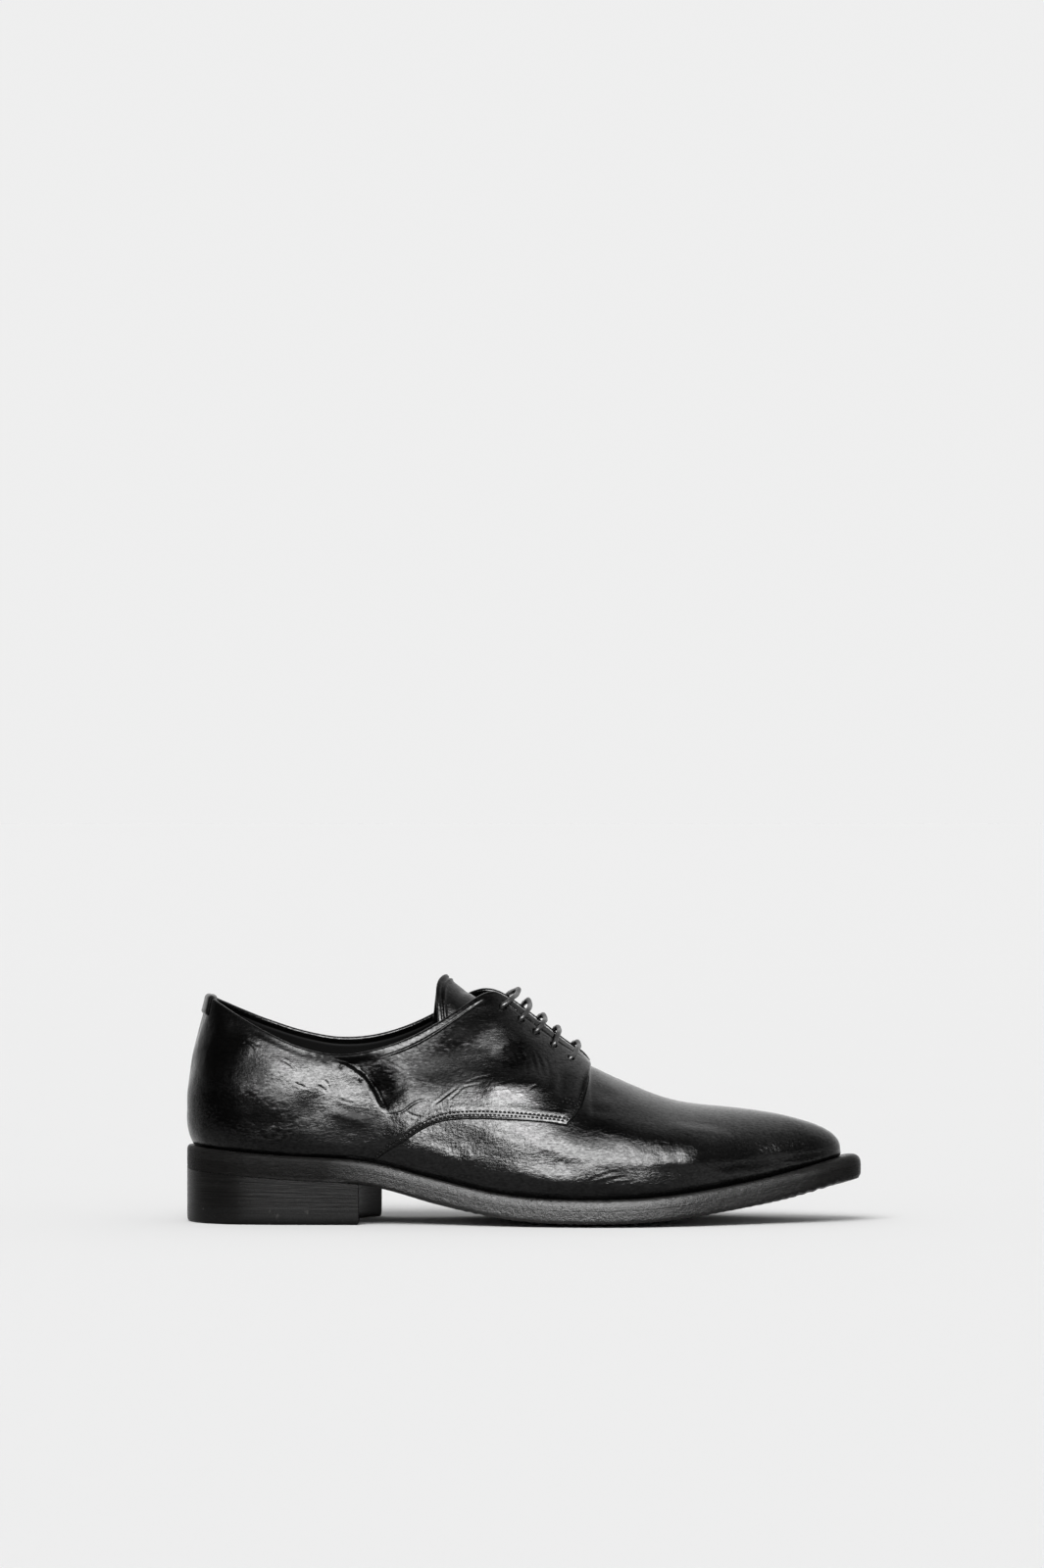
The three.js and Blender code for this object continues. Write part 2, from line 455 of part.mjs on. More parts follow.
function tongueGeometry() {
  const shell = new Shell();
  const rows = steps(14, (q) => q * TONGUE_END);
  const cols = steps(10, (q) => q * 2 - 1);
  const top = rows.map((s) => cols.map((u) => tonguePoint(s, u)));
  const under = rows.map((s) => cols.map((u) => tonguePoint(s, u, TONGUE_T)));
  const n = cols.length - 1;
  const e = rows.length - 1;
  shell.strip(top);
  shell.strip(under, true);
  shell.strip(rows.map((_, i) => [under[i][0], top[i][0]]));
  shell.strip(rows.map((_, i) => [top[i][n], under[i][n]]));
  shell.strip([under[0], top[0]]);
  shell.strip([top[e], under[e]]);
  return shell.geometry();
}

// ---- lace bars ----
// The rib and the height on it of a point seen from the side.
function onLateral(x, z) {
  let s = 11;
  let t = 0.8;
  for (let i = 0; i < 30; i++) {
    let lo = 0.3;
    let hi = 1;
    for (let k = 0; k < 24; k++) {
      t = (lo + hi) / 2;
      if (outer(s, -1, t).z < z) lo = t; else hi = t;
    }
    s += (x - outer(s, -1, t).x) / 18;
  }
  return { s, t };
}

// From a hole over the facing edge to the arch's top and down to the other hole. Seen from
// the side each half is straight, from the hole to the top.
function lacePath({ holeX, holeZ, peakX, peakZ }) {
  const line = (w) => [THREE.MathUtils.lerp(holeX, peakX, w), THREE.MathUtils.lerp(holeZ, peakZ, w)];
  let cross = 0;
  for (let w = 0; w < 1; w += 0.01) {
    const [x, z] = line(w);
    if (z < rimZ["-1"](9.75 + (x - 138.4) / 17.5)) cross = w;
  }
  const half = (side) => [0, cross * 0.5, cross].map((w, i) => {
    const [x, z] = line(w);
    const { s, t } = onLateral(x, z);
    const p = outer(s, side, t);
    return V(side < 0 ? x : p.x + 0.3, p.y + side * (LACE_R + 0.5 + 0.35 * i) * 1.35, p.z + 0.35 * i);
  });
  const peak = V(peakX, 0.5, peakZ);
  return new THREE.CatmullRomCurve3([...half(-1), peak, ...half(1).reverse()], false, "centripetal");
}

function laceGeometry(row) {
  const circle = new THREE.Shape();
  circle.absarc(0, 0, LACE_R, 0, Math.PI * 2, false);
  const g = new THREE.ExtrudeGeometry(circle, { steps: 16, curveSegments: 4, extrudePath: lacePath(row), bevelEnabled: false });
  g.deleteAttribute("normal");
  g.deleteAttribute("uv");
  return mergeVertices(g, 1e-3);
}

// ---- assembly ----
const shoe = new THREE.Group();
const leather = (color, roughness) => new THREE.MeshStandardMaterial({ color, roughness, metalness: 0, side: THREE.DoubleSide });
const finishes = {
  upper: leather(LEATHER.upper, 0.32),
  lining: leather(LEATHER.lining, 0.6),
  sole: leather(LEATHER.sole, 0.55),
  heel: leather(LEATHER.heel, 0.5),
  rubber: leather(0x1b1b1b, 0.65),
  cord: leather(0x161616, 0.5),
};
const add = (name, geometry, finish) => {
  const mesh = new THREE.Mesh(geometry, finish);
  mesh.name = name;
  mesh.position.x = -HEEL_REST_X;
  shoe.add(mesh);
  return mesh;
};

add("upper", upperGeometry(), finishes.upper);
add("tongue", tongueGeometry(), finishes.upper);
add("insole", insoleGeometry, finishes.lining);
add("midsole_welt", midsoleGeometry, finishes.sole);
add("outsole", outsoleGeometry, finishes.sole);
add("heel_stack", stackGeometry, finishes.heel);
add("heel_top_lift", liftGeometry, finishes.rubber);
LACES.forEach((row, i) => add(`lace_bar_${i + 1}`, laceGeometry(row), finishes.cord));

export default shoe;
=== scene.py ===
import math

import bmesh
import bpy
import numpy as np
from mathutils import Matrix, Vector


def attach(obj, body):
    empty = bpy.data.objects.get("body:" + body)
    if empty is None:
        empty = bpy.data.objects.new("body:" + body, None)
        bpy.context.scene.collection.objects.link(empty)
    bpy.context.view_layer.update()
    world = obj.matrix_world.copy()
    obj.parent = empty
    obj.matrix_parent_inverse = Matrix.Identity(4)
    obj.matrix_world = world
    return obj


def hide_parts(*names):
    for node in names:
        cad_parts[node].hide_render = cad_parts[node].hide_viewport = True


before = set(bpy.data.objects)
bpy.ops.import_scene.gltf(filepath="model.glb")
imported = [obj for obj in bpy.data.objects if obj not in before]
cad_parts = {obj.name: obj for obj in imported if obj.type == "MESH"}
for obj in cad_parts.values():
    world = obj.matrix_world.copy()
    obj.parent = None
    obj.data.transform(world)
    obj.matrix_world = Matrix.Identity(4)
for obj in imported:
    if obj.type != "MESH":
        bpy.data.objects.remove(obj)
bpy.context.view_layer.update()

# A black derby shoe, right foot, seen from its outer side on a pale floor.
# Shapes are worked out in millimetres with x from the back of the heel, then moved so that
# the origin is the centre of the heel's ground face, and scaled to metres.
HEEL_REST_X = 38.0
MM = 0.001

# ---- camera: level, square to the shoe's length ----
cam_data = bpy.data.cameras.new("view")
cam_data.sensor_fit = "VERTICAL"
cam_data.sensor_height = 36.0
cam_data.sensor_width = 36.0
cam_data.lens = 152.55
cam_data.clip_end = 60.0
cam = bpy.data.objects.new("view", cam_data)
bpy.context.scene.collection.objects.link(cam)
cam.location = ((151.1 - HEEL_REST_X) * MM, -3.0, 0.197)
cam.rotation_euler = (math.radians(90), 0, 0)
bpy.context.scene.camera = cam

# ---- named sizes ----
GAP = 0.3
WALL = 2.2
EDGE_R = WALL / 2
MIDSOLE_T = 4.9
SOLE_EDGE_T = 10.6
SOLE_CROWN = 1.8
TOP_LIFT_T = 7.7
LACE_R = 1.05
TONGUE_T = 1.6
INSOLE_T = 2.2
THROAT_S = 12.42
SOFT_S = 11.0
LAST_S = 22.0
T_BELLY = 0.28


def table(text):
    """Rows of numbers under named columns."""
    lines = [line.split() for line in text.strip().splitlines()]
    rows = np.array([[float(v) for v in line] for line in lines[1:]])
    return {name: rows[:, i] for i, name in enumerate(lines[0])}
# Plan outline of the sole: x, lateral and medial half width.
SOLE_OUTLINE = table("""
s x lat med
0 0 0 0
1 3.1 13.2 13.2
2 10.5 23.2 23.0
3 22 29.6 29.0
4 36 32.2 31.4
5 54 33.0 31.6
6 72 33.4 30.6
7 90 34.6 29.4
8 108 37.6 29.0
9 126 42.0 31.2
10 144 47.0 36.6
11 162 51.2 42.8
12 180 53.6 47.6
13 198 53.2 49.6
14 215 50.0 48.2
15 231 44.4 43.8
16 246 37.8 37.6
17 260 31.2 30.8
18 273 25.4 24.8
19 284.5 20.2 19.6
20 294.5 14.4 14.0
21 301.8 7.6 7.4
22 304 0 0
""")
# Height of the sole's upper face along the length.
SOLE_TOP = table("""
x z
-6 35.2
4 34.2
17 33.0
32 31.7
48 30.6
62 29.9
74 29.1
84 27.8
93 25.8
103 23.1
115 20.1
128 17.0
141 14.5
154 13.0
168 12.3
182 12.1
195 12.3
208 12.9
220 14.0
234 15.9
248 18.2
262 20.9
275 24.0
287 27.2
296 29.5
306 31.1
""")
# Ribs of the upper: foot, bulge and height of the belly, lean at the rim, strength of both ends.
RIBS = table("""
s x lat med bulgeL bulgeM belly lean low high
0 3.2 0 0 3.0 3.0 52 13 0.36 0.3
1 5.6 12.0 12.0 2.9 2.9 52 12 0.36 0.3
2 12.0 21.2 21.0 2.7 2.7 51 11 0.36 0.3
3 22.4 27.0 26.5 2.6 2.6 49.5 10 0.36 0.3
4 36 29.6 28.8 2.6 2.7 47.5 10 0.36 0.3
5 53 30.2 28.8 2.8 3.2 45 10 0.36 0.3
6 71 30.2 27.6 3.0 4.2 42.5 12 0.36 0.3
7 89 31.2 26.2 3.3 5.6 40 16 0.36 0.3
8 107 33.8 25.6 3.4 6.8 37.5 25 0.34 0.3
9 125 37.9 27.2 3.2 7.2 34.5 36 0.32 0.3
10 142.5 42.2 32.0 2.9 6.0 31.5 44 0.31 0.3
11 159 45.8 37.8 2.6 4.2 29 52 0.31 0.31
12 175.5 47.9 42.0 2.4 3.0 27.5 56 0.33 0.34
13 192 47.7 44.0 2.2 2.4 26.5 60 0.4 0.4
14 208 45.0 43.0 2.0 2.1 26 80 0.45 0.42
15 223 40.2 39.4 1.8 1.8 26.5 80 0.48 0.43
16 237 34.3 34.2 1.5 1.5 27.3 80 0.5 0.43
17 250.5 28.2 28.2 1.3 1.3 28.3 80 0.5 0.43
18 263 22.4 22.2 1.0 1.0 29.6 80 0.5 0.43
19 274.5 17.2 16.8 0.8 0.8 30.8 80 0.5 0.43
20 284.6 12.4 12.0 0.5 0.5 32 80 0.49 0.43
21 292.0 6.8 6.6 0.25 0.25 32.6 80 0.47 0.43
22 294.6 0 0 0.1 0.1 32.8 80 0.46 0.43
""")
# Rim of the opening.
RIM = table("""
s x lat zLat med zMed
0 9.0 0 101.7 0 101.7
1 11.0 7.4 100.9 7.2 101.0
2 16.2 13.4 97.8 12.8 98.6
3 24.6 19.2 92.6 17.8 94.8
4 36 24.4 86.3 21.8 90.2
5 52 28.2 79.3 24.8 85.0
6 69 29.7 76.2 26.2 82.1
6.95 86 29.5 78.7 26.0 83.6
7.85 103 27.3 84.9 24.2 89.3
8.4 114 24.0 90.9 21.8 95.0
8.85 122 20.6 96.0 18.8 100.2
9.2 128.6 17.4 100.4 16.2 103.4
9.5 134 15.2 103.4 14.6 104.8
9.75 138.4 14.2 104.3 13.8 104.4
10 142.4 13.7 102.8 13.3 102.9
10.35 148.2 13.1 98.9 12.8 99.2
10.8 156 12.4 92.9 12.2 93.4
11.3 165 11.6 85.9 11.4 86.4
11.75 172.8 10.6 79.7 10.4 80.0
12.02 177.8 9.0 75.5 9.2 76.2
12.2 180.6 6.4 72.6 7.6 73.0
12.33 181.7 3.2 70.9 4.8 71.1
12.42 181.9 -1.0 69.9 1.0 69.9
""")
# Ridge of the vamp in front of the throat.
RIDGE_X = table("""
s x
12.42 181.9
13 190.5
14 205
15 219
16 231.5
17 242.8
18 252.6
19 260.8
20 267
21 271.2
22 273
""")
RIDGE = table("""
x z y
176 72.6 0.7
181.9 69.9 1.0
190 66.1 1.6
199 62.0 2.2
208 58.1 2.6
217 55.0 2.8
226 53.1 2.7
236 52.0 2.4
247 51.0 1.9
258 49.6 1.2
267 48.1 0.6
275 46.2 0
""")
# Tongue: middle line, half width, drop of its arch and how far its edges lie back.
TONGUE = table("""
s x z half drop backL backM
0 115.8 110.9 20.5 24 1.6 4.6
1 122 106.4 20.5 22 1.4 3.6
2 130 100.9 20.5 19.5 1.2 2.8
3 140 94.4 20.3 17 1 2.2
4 150 88.2 20.0 14.5 0.8 1.6
5 160 81.9 19.5 12 0.6 1
6 170 75.3 18.5 9.6 0.4 0.6
7 180 68.0 17.0 7 0.2 0.2
8 190 62.6 15.0 5.2 0 0
""")
# Lace bars: lateral hole and highest point.
LACES = table("""
holeX holeZ peakX peakZ
142.3 97.0 149.9 104.0
150.6 91.4 154.4 99.4
157.4 85.9 161.2 92.6
165.2 79.8 167.7 87.2
172.5 73.5 176.6 80.4
""")


# ---- curves and the outer surface of the upper, as the part has them ----
def reader(rows, key, column, mirror=0):
    k = rows[key]
    v = rows[column]
    if mirror:
        k = np.concatenate([[2 * k[0] - k[1]], k, [2 * k[-1] - k[-2]]])
        v = np.concatenate([[mirror * v[1]], v, [mirror * v[-2]]])
    h = np.diff(k)
    d = np.diff(v) / h
    m = np.empty_like(v)
    m[0] = d[0]
    m[-1] = d[-1]
    m[1:-1] = (d[:-1] * h[1:] + d[1:] * h[:-1]) / (h[:-1] + h[1:])

    def at(q):
        q = np.asarray(q, float)
        i = np.clip(np.searchsorted(k, q, "left") - 1, 0, len(k) - 2)
        t = np.clip((q - k[i]) / h[i], 0, 1)
        t2 = t * t
        t3 = t2 * t
        return (v[i] * (2 * t3 - 3 * t2 + 1) + m[i] * h[i] * (t3 - 2 * t2 + t)
                + v[i + 1] * (3 * t2 - 2 * t3) + m[i + 1] * h[i] * (t3 - t2))

    return at


sole_x = reader(SOLE_OUTLINE, "s", "x", 1)
sole_y = {-1: reader(SOLE_OUTLINE, "s", "lat", -1), 1: reader(SOLE_OUTLINE, "s", "med", -1)}
top_z = reader(SOLE_TOP, "x", "z")
rib_x = reader(RIBS, "s", "x", 1)
rib_y = {-1: reader(RIBS, "s", "lat", -1), 1: reader(RIBS, "s", "med", -1)}
bulge = {-1: reader(RIBS, "s", "bulgeL", 1), 1: reader(RIBS, "s", "bulgeM", 1)}
belly_z = reader(RIBS, "s", "belly", 1)
lean_at = reader(RIBS, "s", "lean", 1)
low_at = reader(RIBS, "s", "low", 1)
high_at = reader(RIBS, "s", "high", 1)
rim_x = reader(RIM, "s", "x")
rim_y = {-1: reader(RIM, "s", "lat"), 1: reader(RIM, "s", "med")}
rim_z = {-1: reader(RIM, "s", "zLat"), 1: reader(RIM, "s", "zMed")}
ridge_x = reader(RIDGE_X, "s", "x")
ridge_y = reader(RIDGE, "x", "y")
ridge_z = reader(RIDGE, "x", "z")


def ridge_slope(x):
    return ridge_z(x + 0.5) - ridge_z(x - 0.5)


def xyz(x, y, z):
    return np.stack(np.broadcast_arrays(np.asarray(x, float), y, z), -1)


def unit(v):
    return v / np.maximum(np.linalg.norm(v, axis=-1, keepdims=True), 1e-9)


def smooth(x, a, b):
    t = np.clip((np.asarray(x, float) - a) / (b - a), 0, 1)
    return t * t * (3 - 2 * t)


def bezier(a, b, c, d, t):
    t = t[..., None]
    u = 1 - t
    return a * u ** 3 + 3 * b * u * u * t + 3 * c * u * t * t + d * t ** 3


def rim_point(s, side):
    return xyz(rim_x(s), side * rim_y[side](s), rim_z[side](s))


def ridge_point(s):
    x = ridge_x(s)
    return xyz(x, ridge_y(x), ridge_z(x))


def soft_rim(s, side):
    span = THROAT_S - SOFT_S
    start = rim_point(SOFT_S, side)
    end = ridge_point(THROAT_S)
    d0 = (rim_point(SOFT_S + 0.05, side) - rim_point(SOFT_S - 0.05, side)) * span / 0.1
    d1 = (ridge_point(THROAT_S + 0.1) - end) * span / 0.1
    return bezier(start, start + d0 / 3, end - d1 / 3, end, (np.asarray(s, float) - SOFT_S) / span)


def outer(s, side, t):
    """Point of the outer surface: s from the heel (0) to the toe (22), t from the sole (0)
    over the belly to the rim or the ridge (1)."""
    s, t = np.broadcast_arrays(np.clip(np.asarray(s, float), 0, LAST_S), np.asarray(t, float))
    e = 0.02
    fx = rib_x(s)
    fy = rib_y[side](s)
    tx = rib_x(s + e) - rib_x(s - e)
    ty = rib_y[side](s + e) - rib_y[side](s - e)
    ends = (s <= 0) | (s >= LAST_S)
    tx = np.where(ends, 0, tx)
    ty = np.where(s <= 0, 1, np.where(s >= LAST_S, -1, ty))
    n = np.hypot(tx, ty)
    direction = xyz(-ty / n, side * tx / n, 0)
    foot = xyz(fx, side * fy, top_z(fx) + GAP)
    b = bulge[side](s)[..., None]
    belly = foot + direction * b
    belly[..., 2] = belly_z(s)
    closed = s >= THROAT_S
    soft = (s > SOFT_S) & ~closed
    sharp = rim_point(s, side)
    rim = np.where(closed[..., None], ridge_point(s), np.where(soft[..., None], soft_rim(s, side), sharp))
    turn = np.where(soft[..., None], sharp - rim, 0)
    plan = rim - belly
    plan[..., 2] = 0
    plan = unit(plan)
    slope = np.where(closed, ridge_slope(rim[..., 0]), ridge_slope(ridge_x(THROAT_S)))
    flat = plan.copy()
    flat[..., 2] = plan[..., 0] * slope
    flat = unit(flat)
    a = np.radians(lean_at(s))
    steep = xyz(plan[..., 0] * np.sin(a), plan[..., 1] * np.sin(a), np.cos(a))
    w = np.where(closed, 1, smooth(s, SOFT_S, THROAT_S))[..., None]
    arrive = unit(steep + (flat - steep) * w)
    h = (belly[..., 2] - foot[..., 2])[..., None]
    up = np.array([0, 0, 1.0])
    lower = bezier(foot, foot + direction * 0.22 * np.linalg.norm(belly - foot, axis=-1, keepdims=True) + up * 0.3 * h,
                   belly - up * 0.35 * h, belly, np.clip(t / T_BELLY, 0, 1))
    reach = np.linalg.norm(rim - belly, axis=-1, keepdims=True)
    q = np.clip((t - T_BELLY) / (1 - T_BELLY), 0, 1)
    upper = bezier(belly, belly + up * (low_at(s) * (rim[..., 2] - belly[..., 2]) * 1.15)[..., None],
                   rim - arrive * high_at(s)[..., None] * reach, rim, q) + turn * (q ** 3)[..., None]
    return np.where((t <= T_BELLY)[..., None], lower, upper)


def frame_at(s, side, t):
    """Point, outward normal and the direction up the rib."""
    s, t = np.broadcast_arrays(np.asarray(s, float), np.asarray(t, float))
    p = outer(s, side, t)
    along = outer(np.minimum(LAST_S, s + 0.03), side, t) - outer(np.maximum(0, s - 0.03), side, t)
    along = np.where((s <= 1e-6)[..., None], np.array([0, float(side), 0]), along)
    along = np.where((s >= LAST_S - 1e-6)[..., None], np.array([0, -float(side), 0]), along)
    top = (s >= THROAT_S - 1e-9) & (t > 0.999)
    ridge = xyz(1, 0, ridge_slope(ridge_x(s)))
    along = np.where((top & (s < LAST_S))[..., None], ridge, along)
    up = outer(s, side, np.minimum(1, t + 0.01)) - outer(s, side, np.maximum(0, t - 0.01))
    n = unit(-side * np.cross(along, up))
    n = np.where(top[..., None], unit(n * np.array([1, 0, 1])), n)
    return p, n, unit(up)


def seen(p):
    """Where a point of the outer side shows in the full view, in its 1065 x 1600 pixels."""
    far = 3000 + p[..., 1]
    return 532.5 + 6780 * (p[..., 0] - 151.1) / far, 800 + 6780 * (197 - p[..., 2]) / far


_S, _T = np.meshgrid(np.linspace(0, LAST_S, 441), np.linspace(0, 1, 101), indexing="ij")
_SURFACE = {side: outer(_S, side, _T) for side in (-1, 1)}


def locate(x, z, side):
    """s and t of the points of one side that lie at x and z."""
    x, z = np.atleast_1d(np.asarray(x, float)), np.atleast_1d(np.asarray(z, float))
    g = _SURFACE[side]
    s, t = np.empty(len(x)), np.empty(len(x))
    for i in range(len(x)):
        k = np.argmin((g[..., 0] - x[i]) ** 2 + (g[..., 2] - z[i]) ** 2)
        s[i], t[i] = _S.flat[k], _T.flat[k]
    for _ in range(8):
        p = outer(s, side, t)
        ds = (outer(np.minimum(s + 0.01, LAST_S), side, t) - outer(np.maximum(s - 0.01, 0), side, t)) / 0.02
        dt = (outer(s, side, np.minimum(t + 0.004, 1)) - outer(s, side, np.maximum(t - 0.004, 0)))
        dt = dt / (np.minimum(t + 0.004, 1) - np.maximum(t - 0.004, 0))[:, None]
        ex, ez = x - p[:, 0], z - p[:, 2]
        det = ds[:, 0] * dt[:, 2] - ds[:, 2] * dt[:, 0]
        det = np.where(np.abs(det) < 1e-6, 1e-6, det)
        s = np.clip(s + np.clip((ex * dt[:, 2] - ez * dt[:, 0]) / det, -0.2, 0.2), 0, LAST_S)
        t = np.clip(t + np.clip((ds[:, 0] * ez - ds[:, 2] * ex) / det, -0.05, 0.05), 0, 1)
    return s, t


# ---- strokes: soft folds drawn as lines in the full view's pixels ----
def stroke_field(px, row, strokes):
    """Height in mm at each pixel place: each stroke is (points, height, half width in px,
    lip height, fade at start, fade at end), its height going to zero over its faded ends."""
    total = np.zeros(px.shape)
    for points, height, width, lip, fade_in, fade_out in strokes:
        # a width given as a pair makes a fold: a quick drop on the line's right, then a slow rise
        drop, back = width if isinstance(width, tuple) else (None, None)
        width = back if drop else width
        pts = np.array(points, float)
        # round the corners of the line before it is used
        for _ in range(2):
            mid = np.empty((2 * len(pts) - 2, 2))
            mid[0::2] = pts[:-1] * 0.75 + pts[1:] * 0.25
            mid[1::2] = pts[:-1] * 0.25 + pts[1:] * 0.75
            pts = np.vstack([pts[:1], mid, pts[-1:]])
        seg = np.diff(pts, axis=0)
        ln = np.hypot(seg[:, 0], seg[:, 1])
        at = np.concatenate([[0], np.cumsum(ln)])
        lo, hi = pts.min(0) - 4 * width, pts.max(0) + 4 * width
        near = (px > lo[0]) & (px < hi[0]) & (row > lo[1]) & (row < hi[1])
        if not near.any():
            continue
        x, y = px[near], row[near]
        best = np.full(x.shape, 1e9)
        along = np.zeros(x.shape)
        hand = np.zeros(x.shape)
        for i in range(len(seg)):
            if ln[i] < 1e-6:
                continue
            q = np.clip(((x - pts[i, 0]) * seg[i, 0] + (y - pts[i, 1]) * seg[i, 1]) / ln[i] ** 2, 0, 1)
            d = np.hypot(x - pts[i, 0] - q * seg[i, 0], y - pts[i, 1] - q * seg[i, 1])
            closer = d < best
            best = np.where(closer, d, best)
            along = np.where(closer, at[i] + q * ln[i], along)
            cross = seg[i, 0] * (y - pts[i, 1]) - seg[i, 1] * (x - pts[i, 0])
            hand = np.where(closer, -np.sign(cross), hand)
        whole = at[-1]
        fade = smooth(along, -1e-3, max(fade_in, 1e-3) * whole) * (1 - smooth(along, (1 - max(fade_out, 1e-3)) * whole, whole + 1e-3))
        if drop:
            form = height * smooth(hand * best, -0.5 * drop, drop) * np.clip(1 - np.maximum(0, hand * best - drop) / back, 0, 1) ** 1.3
            form = form + lip * (np.exp(-((hand * best + 1.1 * drop) / (0.7 * drop)) ** 2)
                                 + 0.6 * np.exp(-((hand * best - 2.2 * drop) / (0.8 * drop)) ** 2))
            total[near] += form * fade
            continue
        form = height * np.exp(-(best / width) ** 2)
        if lip:
            form = form + lip * np.exp(-((best - 1.9 * width) / (0.8 * width)) ** 2)
        total[near] += form * fade
    return total


# ---- mesh building ----
class Mesh:
    def __init__(self):
        self.v = []
        self.f = []
        self.n = 0

    def add(self, points):
        points = np.asarray(points, float).reshape(-1, 3)
        first = self.n
        self.v.append(points)
        self.n += len(points)
        return first

    def grid(self, p, flip=False, wrap_u=False, wrap_v=False):
        """Quads over a grid of points (rows, columns, 3)."""
        p = np.asarray(p, float)
        nu, nv = p.shape[:2]
        first = self.add(p)
        i = np.arange(nu if wrap_u else nu - 1)
        j = np.arange(nv if wrap_v else nv - 1)
        i, j = np.meshgrid(i, j, indexing="ij")
        a = first + i * nv + j
        b = first + ((i + 1) % nu) * nv + j
        c = first + ((i + 1) % nu) * nv + (j + 1) % nv
        d = first + i * nv + (j + 1) % nv
        quads = np.stack([a, d, c, b] if flip else [a, b, c, d], -1).reshape(-1, 4)
        self.f.append(quads)
        return first

    def build(self, name, material, weld=0.02):
        verts = np.vstack(self.v)
        world = (verts - np.array([HEEL_REST_X, 0, 0])) * MM
        faces = np.vstack(self.f)
        mesh = bpy.data.meshes.new(name)
        mesh.vertices.add(len(world))
        mesh.vertices.foreach_set("co", world.ravel())
        mesh.loops.add(len(faces) * 4)
        mesh.loops.foreach_set("vertex_index", faces.ravel().astype(np.int32))
        mesh.polygons.add(len(faces))
        mesh.polygons.foreach_set("loop_start", np.arange(0, len(faces) * 4, 4, dtype=np.int32))
        mesh.update(calc_edges=True)
        obj = bpy.data.objects.new(name, mesh)
        bpy.context.scene.collection.objects.link(obj)
        if weld:
            bm = bmesh.new()
            bm.from_mesh(mesh)
            bmesh.ops.remove_doubles(bm, verts=bm.verts, dist=weld * MM)
            bmesh.ops.dissolve_degenerate(bm, edges=bm.edges, dist=1e-7)
            bm.to_mesh(mesh)
            bm.free()
        mesh.polygons.foreach_set("use_smooth", np.ones(len(mesh.polygons), dtype=bool))
        mesh.update()
        mesh.materials.append(material)
        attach(obj, "root")
        return obj


def spaced(n, pull):
    """n + 1 steps from 0 to 1, closer together at both ends by pull."""
    q = np.linspace(0, 1, n + 1)
    return q - pull * np.sin(2 * np.pi * q) / (2 * np.pi)


def along_line(points, q):
    """Points at shares q of a polyline's length, on a smooth curve through its points."""
    pts = np.asarray(points, float)
    at = np.concatenate([[0], np.cumsum(np.linalg.norm(np.diff(pts, axis=0), axis=1))])
    rows = {"k": at}
    out = []
    for c in range(pts.shape[1]):
        rows["v"] = pts[:, c]
        out.append(reader(rows, "k", "v")(np.asarray(q) * at[-1]))
    return np.stack(out, -1)


# ---- quarters: the back of the upper, open at the front over the tongue ----
# Lower seam on the vamp and front edge, seen from the side.
SEAM = [(84.1, 28.8), (91, 33.4), (98, 37.5), (106.3, 43.1), (111.5, 45.7), (116.8, 47.2), (122, 47.8),
        (132.6, 48.2), (140.9, 48.0), (148.7, 47.7), (159.2, 46.9), (164.4, 46.3), (170.9, 45.1)]
FRONT = [(170.9, 45.1), (173.4, 47.3), (175.1, 49.2), (176.7, 51.9), (178.9, 57.4), (180.3, 62.4), (181.1, 67.3)]
FRONT_S = 12.31

